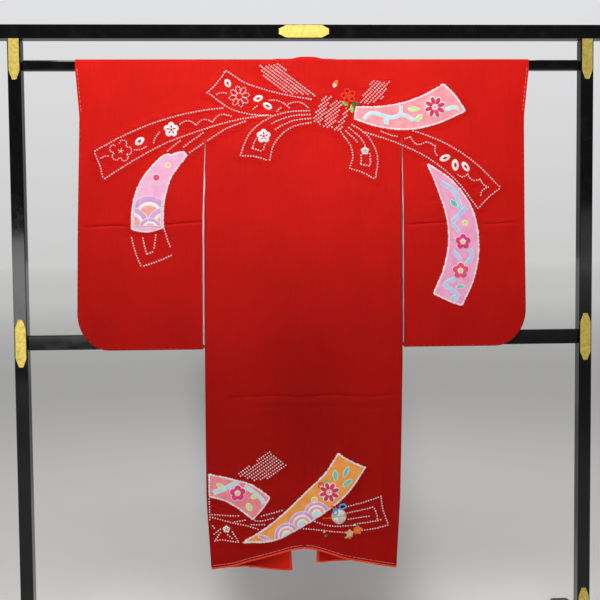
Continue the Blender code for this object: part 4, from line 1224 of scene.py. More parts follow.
# ribbon, shares of its length and of its half width where a line across it starts and ends, bow
CROSSED = (
    ("upper_left", 1, 1.035, -1, 1, 0.003), ("left_sleeve", 0.985, 1.02, -1, 1, 0.003),
    ("low_left", 1.02, 0.97, -1, 1, 0.005), ("low_left", 0.87, 0.87, -0.38, 0.40, 0.000),
    ("low_right", 0.94, 1.035, -1, 1, 0.004), ("low_right", 0.80, 0.80, -0.30, 0.42, 0.000),
    ("right_sleeve", 1, 1, -1, 1, 0.003),
    ("pink_end", 1, 1, -1, 1, -0.002), ("pink_end", 0.66, 0.66, -0.40, 0.06, 0.0),
    ("low_end", 1, 1, -1, 1, 0.004), ("low_end", 0.74, 0.74, -0.45, 0.48, -0.002),
)
for name, strips in OUTLINED:
    ribbon = ribbons[name]
    for first, last, start, end in strips:
        share = np.linspace(0.0, 1.0, 80)
        along = (start + (end - start) * share) * ribbon.length
        dot_line(ribbon.place(along, (first + (last - first) * share) * ribbon.half(along)))
for name, from_share, to_share, start, end, bow in CROSSED:
    ribbon = ribbons[name]
    first, last = (ribbon.place(share * ribbon.length, at * ribbon.half(share * ribbon.length))
                   for share, at in ((from_share, start), (to_share, end)))
    dot_line(arc(first, last, bow)[2:-1])

# lines that lead from the knot to the painted ribbons, and the ends that show round the lower ones
LEADS = (
    ((-0.242, 1.246), (-0.289, 1.213)), ((-0.297, 1.228), (-0.329, 1.202)),
    ((-0.142, 1.273), (-0.187, 1.256), (-0.233, 1.227), (-0.274, 1.200)),
    ((-0.232, 0.331), (-0.165, 0.327)), ((-0.231, 0.324), (-0.168, 0.307), (-0.118, 0.292)),
    ((-0.178, 0.313), (-0.150, 0.316)), ((-0.138, 0.304), (-0.101, 0.305)),
    ((-0.129, 0.314), (-0.112, 0.314), (-0.081, 0.322)), ((-0.113, 0.326), (-0.059, 0.340)),
    ((-0.2385, 0.369), (-0.2375, 0.316)), ((-0.231, 0.303), (-0.225, 0.294)),
    ((-0.213, 0.295), (-0.228, 0.283)), ((-0.213, 0.287), (-0.226, 0.267)),
    ((-0.226, 0.267), (-0.205, 0.269), (-0.169, 0.263)),
    ((-0.195, 0.282), (-0.185, 0.274)), ((-0.184, 0.289), (-0.169, 0.263)),
    ((-0.012, 0.292), (0.036, 0.287), (0.092, 0.282)), ((0.016, 0.309), (0.049, 0.299), (0.109, 0.298)),
)
for lead in LEADS:
    dot_line(curve_through(lead, 40))

# small clouds between the flowers: start and end of each hump, bow to the left of its way
CLOUDS = (
    ((-0.208, 1.337), (-0.184, 1.339), 0.003), ((-0.083, 1.323), (-0.035, 1.303), 0.007),
    ((-0.038, 1.314), (0.009, 1.305), 0.009), ((-0.122, 1.302), (-0.112, 1.310), 0.000),
    ((-0.066, 1.297), (-0.054, 1.308), 0.000), ((-0.296, 1.267), (-0.258, 1.265), 0.009),
    ((-0.258, 1.265), (-0.220, 1.272), 0.009), ((-0.219, 1.272), (-0.175, 1.285), 0.011),
    ((-0.484, 1.188), (-0.464, 1.192), 0.002), ((-0.404, 1.207), (-0.373, 1.218), -0.004),
    ((-0.359, 1.224), (-0.341, 1.251), 0.003), ((0.184, 1.248), (0.225, 1.236), -0.002),
    ((0.235, 1.228), (0.254, 1.234), 0.001), ((0.254, 1.234), (0.292, 1.223), -0.012),
    ((0.292, 1.223), (0.314, 1.212), 0.001), ((0.314, 1.212), (0.320, 1.189), -0.004),
    ((0.369, 1.144), (0.392, 1.145), -0.006), ((0.392, 1.145), (0.422, 1.133), -0.009),
    ((0.422, 1.133), (0.445, 1.113), -0.004), ((0.437, 1.112), (0.423, 1.090), -0.004),
)
for start, end, bow in CLOUDS:
    dot_line(arc(start, end, bow), 0.0057, 0.92)

# bands filled with slanting lines of dots: corners, direction of the lines in degrees
FILLS = (
    (((-0.109, 1.405), (-0.062, 1.409), (-0.005, 1.362), (0.037, 1.330), (-0.045, 1.340),
      (-0.096, 1.378)), -37),
    (((0.047, 1.338), (0.067, 1.332), (0.036, 1.262), (0.018, 1.274)), 38),
    (((0.073, 1.326), (0.090, 1.321), (0.088, 1.304), (0.069, 1.259), (0.045, 1.256), (0.050, 1.292)), 38),
    (((0.097, 1.307), (0.111, 1.304), (0.087, 1.245), (0.069, 1.253), (0.094, 1.292)), 40),
    (((0.128, 1.315), (0.168, 1.376), (0.183, 1.366), (0.209, 1.370), (0.189, 1.329), (0.162, 1.314)), 45),
    (((-0.177, 0.429), (-0.134, 0.452), (-0.091, 0.485), (-0.050, 0.451), (-0.093, 0.419),
      (-0.130, 0.410)), 35),
)
for corners, degrees in FILLS:
    corners = np.array(corners)
    angle = math.radians(degrees)
    way = np.array((math.cos(angle), math.sin(angle)))
    off = np.array((-way[1], way[0]))
    along, across = corners @ way, corners @ off
    after, beyond = np.roll(along, -1), np.roll(across, -1)
    for row, level in enumerate(np.arange(across.min() + 0.002, across.max() - 0.001, FILL_SPACING)):
        crossed = (across > level) != (beyond > level)
        cuts = along + (level - across) * (after - along) / np.where(crossed, beyond - across, 1)
        cuts = np.sort(cuts[crossed])
        for first, last in zip(cuts[::2], cuts[1::2]):
            start = first + draw.uniform(0.0, 0.0040) + (row % 2) * FILL_PITCH / 2
            for at in np.arange(start, last - draw.uniform(0.0, 0.0030), FILL_PITCH):
                x, z = way * at + off * (level + draw.uniform(-1, 1) * 0.0002)
                dots.append((x, z, draw.uniform(0.95, 1.12)))

# outlined flowers: middle, radius, directions of the petals in degrees, petal's width on its
# length, share of the radius where a petal starts, how far round its outline goes each way
OUTLINE_FLOWERS = (
    (-0.155, 1.332, 0.0245, (10, 55, 100, 145, 190, 235, 280, 325), 0.62, 0.30, math.pi * 0.92),
    (-0.437, 1.205, 0.0260, (165, 70, 0, -60, -130), 1.15, 0.42, math.pi * 0.62),
)
for x, z, radius, petals, width, inner, round_to in OUTLINE_FLOWERS:
    for degrees in petals:
        turn = np.linspace(-round_to, round_to, 30)
        length = radius * (1 - inner) / 2
        along = radius * (1 + inner) / 2 + length * np.cos(turn)
        dot_line(turned(x, z, along, length * width * np.sin(turn), degrees), 0.0050, 0.80)
        if len(petals) == 5:
            dot_line([spoke(x, z, reach, math.radians(degrees)) for reach in (0.002, 0.009)], 0.0036, 0.70)

dot = build_dot()
form = bmesh.new()
dot_places = []
for x, z, size in dots:
    local = abs(x - float(sway(z)))
    in_slit = z < 1.248 and float(side_width(z)) - 0.002 < local < float(sleeve_inner(z)) + 0.002
    if in_slit or local > float(sleeve_outer(z)) - 0.004:
        continue
    # sunk in a little, and turned by an amount that changes over the cloth
    spot = lay((x, z), -DOT_SUNK)
    turn = Matrix.Rotation(0.6 * math.sin(37.0 * x + 23.0 * z), 4, "Y")
    dot_places.append(Matrix.Translation(spot) @ turn @ Matrix.Diagonal((size, size, size, 1.0)))
scatter(form, dot, dot_places)
dot_core = Look("tied_dot_core", {"Specular IOR Level": 0.15, "Roughness": 0.6})
dot_core.feed("Base Color", dot_core.mix(dot_core.noise(300.0), DOT_RED, SILK_RED))
tied_dots = new_piece("tied_dots", finished(form, "tied_dots"), [dot_white, dot_core])


# Painted ribbons
# These ribbons were capped while the red was dyed, so they are outlined by a puckered white rim,
# and then painted in pale shades that vary a little.
RIM_HEIGHT = 0.0005
RIM_WHITE, RIM_PINK = (0.93, 0.88, 0.88), (0.88, 0.74, 0.77)
# how ragged the rim's edges are, as a share of its half width
RIM_RAGGED = 0.60
# of an end with two humps, below 1 the left one is the wider
HUMP_LEAN = 0.66
# rows and the pitch of the rim's points along a ribbon
PAINT_STEP, RIM_STEP = 0.003, 0.0016
# ribbon, lighter colour, deeper colour, then for its start and its end: humps, how far its right half
# and its left half bow out, how much further out its left corner lies than its middle
PAINTED = (
    ("pink", (0.99, 0.56, 0.76), (0.95, 0.40, 0.64), (2, 0.001, 0.010, 0.0170), (1, 0.008, 0.008, -0.003)),
    ("coral", (0.99, 0.41, 0.46), (0.96, 0.29, 0.34), (1, 0.0, 0.0, 0.0), (1, 0.004, 0.004, -0.009)),
    ("orchid", (0.96, 0.46, 0.68), (0.92, 0.32, 0.54), (1, 0.0, 0.0, 0.0), (1, 0.002, 0.002, 0.0)),
    ("low_pink", (0.98, 0.34, 0.38), (0.94, 0.23, 0.27), (1, 0.0, 0.0, 0.006), (1, 0.002, 0.002, 0.0)),
    ("orange", (1.00, 0.42, 0.10), (0.97, 0.31, 0.06), (1, -0.003, -0.003, 0.0035), (1, 0.0, 0.0, 0.0)),
)


def dyed_silk(name, light, dark, rough=0.5):
    """Painted crepe, its colour a little uneven and deeper in patches."""
    look = Look(name, {"Specular IOR Level": 0.15, "Sheen Weight": 0.08, "Sheen Roughness": 0.4})
    cloud = look.noise(60.0, 3.0)
    grain = look.noise(900.0, 2.0)
    tone = cloud.step(0.32, 0.70) * 0.75 + grain.step(0.4, 0.8) * 0.25
    look.feed("Base Color", look.mix(tone, light, dark))
    look.feed("Roughness", rough + cloud * 0.1)
    look.bump(grain + look.threads(420.0, 60.0) * 0.5, 0.00025, 0.7)
    return look


def add_stroke(form, path, half_width, rise, height, material=0, jag=0.0, closed=False):
    """Raised line along a path of X and Z, its outer edge ragged if asked."""
    path = np.array(path)
    if closed:
        ahead = np.roll(path, -1, 0) - np.roll(path, 1, 0)
    else:
        ahead = np.gradient(path, axis=0)
    ahead /= np.maximum(np.linalg.norm(ahead, axis=1)[:, None], 1e-9)
    out = np.stack((-ahead[:, 1], ahead[:, 0]), 1)
    ragged = 1.0 + jag * np.array([draw.uniform(-1.0, 1.0) for _ in path])
    rows = []
    for share, lift in ((-1.0, 0.0), (-0.6, 0.75), (0.0, 1.0), (0.6, 0.75), (1.0, 0.0)):
        reach = half_width * share * (ragged if jag and abs(share) > 0.9 else 1.0)
        rows.append(lay(path + out * np.reshape(reach, (-1, 1)), rise + height * lift))
    grid = np.array(rows).transpose(1, 0, 2)
    if closed:
        grid = np.concatenate((grid, grid[:1]))
    add_grid(form, grid, material)


def backed(piece, depth=0.0005):
    """Gives a laid-on sheet a thickness that goes down into the cloth below it."""
    back = piece.modifiers.new("thickness", "SOLIDIFY")
    back.thickness = depth
    back.offset = -1.0


def facing_out(form, name):
    """Mesh of a laid-on form, its faces turned to the camera's side."""
    bmesh.ops.remove_doubles(form, verts=form.verts, dist=DOUBLES / 2)
    bmesh.ops.dissolve_degenerate(form, edges=form.edges, dist=DOUBLES / 4)
    bmesh.ops.reverse_faces(form, faces=[face for face in form.faces if face.normal.y > 0.0])
    return finished(form, name)


rim_silk = dyed_silk("white_rim_silk", RIM_WHITE, RIM_PINK, 0.55)
painted, rim_points = {}, []
share = np.linspace(-1.0, 1.0, 29)
for name, light, dark, *ends in PAINTED:
    ribbon = ribbons[name]
    look = dyed_silk("painted_" + name, light, dark)
    outs = []
    for humps, right, left, further in ends:
        lobe = ((share + 1) / 2) ** (HUMP_LEAN if humps > 1 else 1.0)
        bow = np.where(lobe < 0.5, right, left) * np.abs(np.sin(math.pi * humps * lobe))
        outs.append(bow + further * share)
    start_out, end_out = outs
    down = np.linspace(0.0, 1.0, max(int(ribbon.length / PAINT_STEP), 2))[:, None]
    along = down * ribbon.length - start_out * (1 - down) ** 6 + end_out * down ** 6
    spots = ribbon.place(along, share[None, :] * (ribbon.half(down * ribbon.length) - RIM / 4))
    form = bmesh.new()
    add_grid(form, lay(spots, PAINT_RISE))
    loop = np.concatenate((spots[0], spots[1:-1, -1], spots[-1, ::-1], spots[-2:0:-1, 0]))
    loop = spaced(np.concatenate((loop, loop[:1])), RIM_STEP)[:-1]
    rim_points += [tuple(point) for point in loop[::2]]
    add_stroke(form, loop, RIM / 2, PAINT_RISE * 0.5, RIM_HEIGHT, 1, RIM_RAGGED, closed=True)
    painted[name] = new_piece("painted_ribbon_" + name, facing_out(form, "painted_ribbon"), [look, rim_silk])
    backed(painted[name])

# the binding leaves small puckers in the silk around the dots and the painted ribbons
tied_at = np.array([(place[0][3], place[2][3]) for place in dot_places] + rim_points)
for piece in list(bodies.values()) + list(sleeves.values()):
    mesh = piece.data
    at = np.empty(len(mesh.vertices) * 3)
    mesh.vertices.foreach_get("co", at)
    at = at.reshape(-1, 3)
    # in blocks, because the table of all the distances would be large
    near = []
    for block in np.array_split(at, max(len(at) // 4000, 1)):
        gap = np.hypot(block[:, None, 0] - tied_at[None, :, 0], block[:, None, 2] - tied_at[None, :, 1])
        near.append(gap.min(axis=1))
    near = np.concatenate(near)
    shown = at[:, 1] < (hang_back(at[:, 2]) + hang_front(at[:, 2])) / 2
    mesh.attributes.new("pucker", "FLOAT", "POINT").data.foreach_set(
        "value", (ease(1 - near / PUCKER_REACH) * shown).astype(np.float32))


# Waves, streams, petals and leaves
# Fine white lines of rice paste kept the painted colours apart. They frame overlapping waves,
# flowing water, flowers and leaves on the ribbons.
MOTIF_RISE = 0.00040
MOTIF_STEP = 0.00010
LINE_HALF = 0.00075
RAY_HALF = 0.0005
LINE_HEIGHT = 0.0002
# how far the painted flowers are turned
FLOWER_TURN = 0.3
MOTIF_MARGIN = 0.0020
MOTIF_COLOURS = (
    ("motif_white", (0.94, 0.91, 0.90), (0.90, 0.82, 0.84)),
    ("motif_lilac", (0.76, 0.42, 0.72), (0.66, 0.32, 0.62)),
    ("motif_coral", (0.97, 0.46, 0.38), (0.94, 0.34, 0.30)),
    ("motif_aqua", (0.64, 0.88, 0.90), (0.52, 0.78, 0.82)),
    ("motif_green", (0.68, 0.88, 0.34), (0.56, 0.80, 0.28)),
    ("motif_teal", (0.20, 0.68, 0.50), (0.14, 0.58, 0.44)),
    ("motif_magenta", (0.90, 0.050, 0.27), (0.80, 0.022, 0.16)),
    ("motif_yellow", (0.93, 0.78, 0.22), (0.88, 0.66, 0.14)),
    ("motif_rose", (0.92, 0.10, 0.24), (0.86, 0.05, 0.14)),
    ("motif_crimson", (0.80, 0.045, 0.13), (0.70, 0.03, 0.09)),
    ("motif_blue", (0.54, 0.70, 0.94), (0.42, 0.58, 0.86)),
)
WHITE, LILAC, CORAL, AQUA, GREEN, TEAL, MAGENTA, YELLOW, ROSE, CRIMSON, BLUE = range(len(MOTIF_COLOURS))
motif_looks = [dyed_silk(*row) for row in MOTIF_COLOURS]


def add_blob(form, outline, middle, rise, crown, material=0, rings=4):
    """Filled shape round a middle point, risen in a soft crown."""
    outline, middle = np.array(outline), np.array(middle)
    outline = np.concatenate((outline, outline[:1]))
    shares = np.linspace(1.0, 0.0, rings + 1)
    spots = middle + (outline - middle)[None] * shares[:, None, None]
    add_grid(form, lay(spots, rise + crown * (1 - shares ** 2)[:, None]), material)


def leaf_outline(x, z, length, width, degrees, count=18, blunt=1.35):
    """Leaf with a point at both ends, or a rounder shape where it is blunt."""
    turn = np.linspace(0, 2 * math.pi, count, endpoint=False)
    along = np.cos(turn) * length / 2
    across = np.sign(np.sin(turn)) * np.abs(np.sin(turn)) ** blunt * width / 2
    return turned(x, z, along, across, degrees)


def circle_outline(x, z, radius, count=16):
    turn = np.linspace(0, 2 * math.pi, count, endpoint=False)
    return np.stack((x + radius * np.cos(turn), z + radius * np.sin(turn)), -1)


def add_disc(form, x, z, radius, rise, crown, material, count=16, rings=4):
    add_blob(form, circle_outline(x, z, radius, count), (x, z), rise, crown, material, rings)


# ribbon, middle of the foot of a wave, its radius, in the order that they lie over each other
WAVES = (
    ("pink", -0.372, 1.051, 0.047), ("pink", -0.413, 1.031, 0.039), ("pink", -0.337, 1.030, 0.040),
    ("pink", -0.370, 1.018, 0.028),
    ("orange", 0.020, 0.327, 0.031), ("orange", -0.015, 0.303, 0.032), ("orange", -0.053, 0.279, 0.029),
)
# colours of a wave from its edge inwards, and the share of its radius where each begins
WAVE_BANDS = {
    "pink": ((LILAC, 1.00), (WHITE, 0.70), (CORAL, 0.52)),
    "orange": ((LILAC, 1.00), (WHITE, 0.74), (CORAL, 0.60), (WHITE, 0.40), (AQUA, 0.30)),
}
# how far the waves stay inside the edges of their ribbon
WAVE_INSET = {"pink": 0.0062, "orange": MOTIF_MARGIN}
# share of the pink ribbon's length where the line round its waves starts
WAVE_LINE_FROM = 0.54
# ribbon, half width of a stream, points along it
STREAMS = (
    ("coral", 0.0043, ((0.140, 1.276), (0.160, 1.292), (0.188, 1.286), (0.208, 1.281), (0.238, 1.287),
                       (0.264, 1.273))),
    ("coral", 0.0040, ((0.231, 1.309), (0.231, 1.298), (0.228, 1.288))),
    ("coral", 0.0055, ((0.195, 1.280), (0.196, 1.272), (0.195, 1.265))),
    ("coral", 0.0045, ((0.338, 1.300), (0.360, 1.305), (0.376, 1.300))),
    ("orchid", 0.0050, ((0.327, 1.126), (0.358, 1.106), (0.370, 1.078), (0.375, 1.059))),
    ("orchid", 0.0056, ((0.389, 1.067), (0.372, 1.048), (0.352, 1.029))),
    ("orchid", 0.0040, ((0.356, 1.025), (0.364, 1.016), (0.372, 1.006))),
    ("orchid", 0.0050, ((0.396, 0.965), (0.402, 0.948), (0.387, 0.928))),
    ("orchid", 0.0045, ((0.355, 0.961), (0.365, 0.951), (0.374, 0.939))),
    ("orchid", 0.0050, ((0.364, 0.896), (0.337, 0.880), (0.357, 0.863), (0.366, 0.852), (0.355, 0.846),
                        (0.366, 0.839))),
    ("low_pink", 0.0057, ((-0.229, 0.384), (-0.200, 0.395), (-0.177, 0.406), (-0.167, 0.402))),
    ("low_pink", 0.0048, ((-0.154, 0.399), (-0.132, 0.385), (-0.113, 0.367), (-0.107, 0.355))),
)
# ribbon, middle, length, width, degrees, colour
LEAVES = (
    ("coral", 0.262, 1.301, 0.029, 0.011, 0, GREEN), ("coral", 0.274, 1.280, 0.023, 0.012, 45, GREEN),
    ("orchid", 0.358, 1.075, 0.023, 0.013, -45, TEAL), ("orchid", 0.373, 0.874, 0.021, 0.010, 0, TEAL),
    ("low_pink", -0.211, 0.401, 0.021, 0.011, -30, GREEN),
    ("low_pink", -0.130, 0.373, 0.019, 0.010, 15, GREEN),
    ("low_pink", -0.143, 0.348, 0.021, 0.014, -65, GREEN),
    ("orange", 0.066, 0.422, 0.026, 0.012, 95, TEAL), ("orange", 0.092, 0.430, 0.028, 0.011, 65, TEAL),
    ("orange", 0.095, 0.403, 0.028, 0.012, 35, TEAL), ("orange", -0.108, 0.273, 0.030, 0.011, -18, LILAC),
)
# middle, radius, number of petals, colour
FLOWERS = (
    (0.313, 1.306, 0.0262, 8, CRIMSON), (0.380, 0.983, 0.0204, 5, MAGENTA), (0.374, 0.913, 0.0214, 5, ROSE),
    (-0.170, 0.383, 0.0208, 5, MAGENTA), (0.051, 0.381, 0.0256, 8, CRIMSON),
)
# middle, radius, colour
SPOTS = (
    (-0.326, 1.170, 0.0062, YELLOW), (-0.354, 1.141, 0.0088, ROSE), (0.385, 1.028, 0.0064, YELLOW),
    (0.015, 0.362, 0.0074, YELLOW),
)

form = bmesh.new()
for name, half, points in STREAMS:
    stream = Ribbon([(x, z, half * 1.3) for x, z in points], 60)
    edges = [ribbons[name].hold(stream.place(stream.run, way * half), MOTIF_MARGIN) for way in (-1, 1)]
    shares = np.linspace(0.0, 1.0, 5)[:, None, None]
    spots = edges[0][None] + (edges[1] - edges[0])[None] * shares
    add_grid(form, lay(spots, MOTIF_RISE), BLUE if name == "orchid" else AQUA)
    for edge in edges:
        add_stroke(form, edge, LINE_HALF * 0.8, MOTIF_RISE, LINE_HEIGHT, WHITE)
for number, (name, x, z, radius) in enumerate(WAVES):
    ribbon = ribbons[name]
    rise = MOTIF_RISE + MOTIF_STEP * 3 * (number % 4)
    turn = np.linspace(-math.pi / 2, 3 * math.pi / 2, 49)
    dome = np.stack((np.cos(turn), np.sin(turn)), -1)
    for colour, share in WAVE_BANDS[name]:
        shares = np.linspace(share, 0.0, 5)[:, None, None]
        spots = ribbon.hold(np.array((x, z)) + dome[None] * radius * shares, WAVE_INSET[name])
        add_grid(form, lay(spots, rise), colour)
        rise += MOTIF_STEP / 2
    edge = ribbon.hold(np.array((x, z)) + dome * radius, WAVE_INSET[name])
    add_stroke(form, edge, LINE_HALF * 1.2, rise, LINE_HEIGHT, WHITE)
# a white line frames the waves of the pink ribbon
ribbon = ribbons["pink"]
down = np.linspace(WAVE_LINE_FROM, 1.0, 24) * (ribbon.length - WAVE_INSET["pink"])
sides = [ribbon.place(down, way * (ribbon.half(down) - WAVE_INSET["pink"])) for way in (-1, 1)]
frame_line = np.concatenate((sides[0], sides[1][::-1]))
add_stroke(form, frame_line, LINE_HALF, MOTIF_RISE + MOTIF_STEP * 12, LINE_HEIGHT, WHITE)
for name, x, z, length, width, degrees, colour in LEAVES:
    outline = ribbons[name].hold(leaf_outline(x, z, length, width, degrees), MOTIF_MARGIN)
    add_blob(form, outline, (x, z), MOTIF_RISE + MOTIF_STEP, 0.0, colour)
    add_stroke(form, outline, LINE_HALF, MOTIF_RISE + MOTIF_STEP, LINE_HEIGHT, WHITE, closed=True)
# each flower is white underneath and coloured on top: plum blossoms have round petals, a heart and
# rays, and the others long petals
for x, z, radius, petals, colour in FLOWERS:
    for layer, (shade, grown) in enumerate(((WHITE, 1.0), (colour, 0.83 if petals == 5 else 0.80))):
        for petal in range(petals):
            angle = 2 * math.pi * petal / petals + FLOWER_TURN
            middle = spoke(x, z, radius * (0.54 if petals == 5 else 0.60), angle)
            if petals == 5:
                outline = circle_outline(*middle, radius * 0.46 * grown)
            else:
                outline = leaf_outline(*middle, radius * 0.80 * grown ** 0.8, radius * 0.58 * grown ** 1.9,
                                       math.degrees(angle), 18, 0.7)
            add_blob(form, outline, middle, MOTIF_RISE + MOTIF_STEP * (2 + layer), 0.0001, shade)
    heart, eye, size = (WHITE, YELLOW, 0.34) if petals == 5 else (WHITE, CRIMSON, 0.17)
    add_disc(form, x, z, radius * size, MOTIF_RISE + MOTIF_STEP * 4, 0.0, heart)
    add_disc(form, x, z, radius * size * 0.5, MOTIF_RISE + MOTIF_STEP * 5, 0.0001, eye)
    for ray in range(5 if petals == 5 else 0):
        angle = 2 * math.pi * ray / 5 + FLOWER_TURN
        ends = [spoke(x, z, reach, angle) for reach in (radius * 0.1, radius * 0.48)]
        add_stroke(form, np.linspace(*ends, 5), RAY_HALF, MOTIF_RISE + MOTIF_STEP * 4, LINE_HEIGHT, YELLOW)
for x, z, radius, colour in SPOTS:
    add_disc(form, x, z, radius, MOTIF_RISE + MOTIF_STEP, 0.0, colour)
    add_stroke(form, circle_outline(x, z, radius), LINE_HALF * 1.4, MOTIF_RISE + MOTIF_STEP, LINE_HEIGHT,
               WHITE, closed=True)
motifs = new_piece("painted_motifs", facing_out(form, "painted_motifs"), motif_looks)
backed(motifs, 0.0004)


# White tied flowers and leaves
# Small blossoms and leaves were bound whole before the silk was dyed, so they stayed white and
# puffed, with a red speck in the middle and red slits where the binding let the dye in.
# middle, radius
WHITE_FLOWERS = ((-0.317, 1.254, 0.0182), (-0.098, 1.238, 0.0172), (0.144, 1.202, 0.0100),
                 (-0.198, 0.296, 0.0092))
# middle, length, width, degrees
WHITE_LEAVES = (
    (-0.182, 1.363, 0.0210, 0.0155, 115), (-0.110, 1.327, 0.0235, 0.0155, 20),
    (-0.088, 1.309, 0.0245, 0.0155, -30), (-0.392, 1.227, 0.0255, 0.0168, 40),
    (0.337, 1.184, 0.0270, 0.0160, 20), (0.362, 1.167, 0.0285, 0.0175, 95),
    (0.387, 1.163, 0.0275, 0.0150, -55),
)
white_silk = dyed_silk("tied_white_silk", (0.94, 0.91, 0.90), (0.90, 0.80, 0.80), 0.55)
speck_silk = dyed_silk("red_speck_silk", (0.70, 0.008, 0.012), SILK_DEEP, 0.55)
form = bmesh.new()
for x, z, radius in WHITE_FLOWERS:
    for petal in range(5):
        angle = 2 * math.pi * petal / 5 + math.pi / 2
        add_disc(form, *spoke(x, z, radius * 0.57, angle), radius * 0.43, 0.0003, 0.0010, 0)
        ray = spoke(x, z, radius * 0.44, angle)
        slit = leaf_outline(*ray, radius * 0.44, radius * 0.20, math.degrees(angle), 10)
        add_blob(form, slit, ray, 0.0012, 0.0003, 1, 2)
    add_disc(form, x, z, radius * 0.24, 0.0010, 0.0001, 0, 12, 2)
    add_disc(form, x, z, radius * 0.16, 0.0012, 0.0002, 1, 10, 2)
for x, z, length, width, degrees in WHITE_LEAVES:
    add_blob(form, leaf_outline(x, z, length, width, degrees, 22, 1.1), (x, z), 0.0003, 0.0011, 0)
    slit = leaf_outline(x, z, length * 0.44, width * 0.36, degrees, 12)
    add_blob(form, slit, (x, z), 0.0013, 0.0003, 1, 2)
tied_flowers = new_piece("tied_flowers", facing_out(form, "tied_flowers"), [white_silk, speck_silk])
backed(tied_flowers, 0.0006)


# Embroidery
# Petals and leaves in satin stitch, flowers drawn in couched cord, and a thread ball with blue
# loops lie on top of the dyed design, in glossy silk thread.
THREAD = 0.00042
CORD = 0.00062
# height of the padding under satin stitch
SATIN_PAD = 0.0006
THREAD_COLOURS = (
    ("thread_orange", (1.00, 0.24, 0.02)), ("thread_white", (0.93, 0.88, 0.84)),
    ("thread_vermilion", (0.98, 0.072, 0.018)), ("thread_light_green", (0.30, 0.80, 0.16)),
    ("thread_deep_green", (0.02, 0.27, 0.07)), ("thread_gold", (0.86, 0.66, 0.20)),
    ("thread_blue", (0.01, 0.50, 1.00)), ("thread_pink", (1.00, 0.56, 0.42)),
    ("thread_dark", (0.05, 0.03, 0.08)),
)
ORANGE_T, WHITE_T, VERMILION_T, LIGHT_T, DEEP_T, GOLD_T, BLUE_T, PINK_T, DARK_T = range(len(THREAD_COLOURS))


def thread_look(name, colour):
    look = Look(name, {"Specular IOR Level": 0.35, "Sheen Weight": 0.1, "Sheen Roughness": 0.3})
    shade = look.noise(500.0, 2.0)
    look.feed("Base Color", look.mix(shade.step(0.3, 0.75), colour, tuple(c * 0.86 for c in colour)))
    look.feed("Roughness", 0.30 + shade * 0.15)
    return look


thread_looks = [thread_look(name, colour) for name, colour in THREAD_COLOURS]


def add_satin(form, x, z, length, width, degrees, material, tip_material=None, rise=0.0004, threads=9):
    """Leaf or petal of threads laid side by side from its base to its tip, over a padded base."""
    add_blob(form, leaf_outline(x, z, length * 0.95, width, degrees, 16, 0.9), (x, z), rise * 0.5, SATIN_PAD,
             material if tip_material is None else tip_material, 3)
    for number in range(threads):
        share = -1.0 + 2.0 * number / (threads - 1)
        t = np.linspace(0.03, 0.97, 9)
        along = (t - 0.5) * length
        across = share * width / 2 * np.sin(math.pi * t) ** 0.8
        lift = rise + SATIN_PAD * (1 - share ** 2) * np.sin(math.pi * t)
        path = lay(turned(x, z, along, across, degrees), lift)
        if tip_material is None:
            add_tube(form, path, THREAD, sides=5, material=material)
        else:
            add_tube(form, path[:5], THREAD, sides=5, material=material)
            add_tube(form, path[4:], THREAD, sides=5, material=tip_material)


def add_loop(form, x, z, reach, width, degrees, material, radius, rise=0.0012):
    """Loop of couched cord that starts and ends at one point."""
    turn = np.linspace(0, 2 * math.pi, 25)
    along = reach * (1 - np.cos(turn)) / 2
    spots = turned(x, z, along, width / 2 * np.sin(turn), degrees)
    add_tube(form, lay(spots, rise), radius, material=material)


form = bmesh.new()
add_satin(form, 0.0740, 1.3610, 0.0200, 0.0105, 62, WHITE_T, ORANGE_T, threads=11)
for petal in range(5):
    add_loop(form, 0.105, 1.332, 0.0175, 0.0125, 90 + 72 * petal + 14, VERMILION_T, CORD * 2.0)
add_disc(form, 0.105, 1.332, 0.0024, 0.0010, 0.0012, GOLD_T, 10, 3)
add_satin(form, 0.0970, 1.3145, 0.0170, 0.0078, 145, LIGHT_T)
add_satin(form, 0.1210, 1.3135, 0.0180, 0.0088, 30, DEEP_T)
add_satin(form, 0.1130, 1.3020, 0.0205, 0.0080, -84, LIGHT_T)
# beside the painted ribbon near the hem
add_loop(form, 0.028, 0.392, 0.0135, 0.0115, 62, VERMILION_T, CORD * 2.3, 0.0016)
add_satin(form, 0.0430, 0.4090, 0.0130, 0.0070, 30, LIGHT_T, rise=0.0010)
# loops over the thread ball, and rays beside it
add_loop(form, 0.0640, 0.3270, 0.0155, 0.0100, 80, BLUE_T, CORD * 2.8, 0.0054)
add_loop(form, 0.0745, 0.3445, 0.0165, 0.0110, 12, BLUE_T, CORD * 2.8, 0.0020)
add_loop(form, 0.0680, 0.3400, 0.0130, 0.0080, 150, VERMILION_T, CORD * 1.6, 0.0022)
add_loop(form, 0.0640, 0.3380, 0.0100, 0.0065, 108, ORANGE_T, CORD * 1.4, 0.0022)
for degrees in (176, 188):
    add_satin(form, 0.046, 0.318, 0.0240, 0.0010, degrees, VERMILION_T, threads=2)
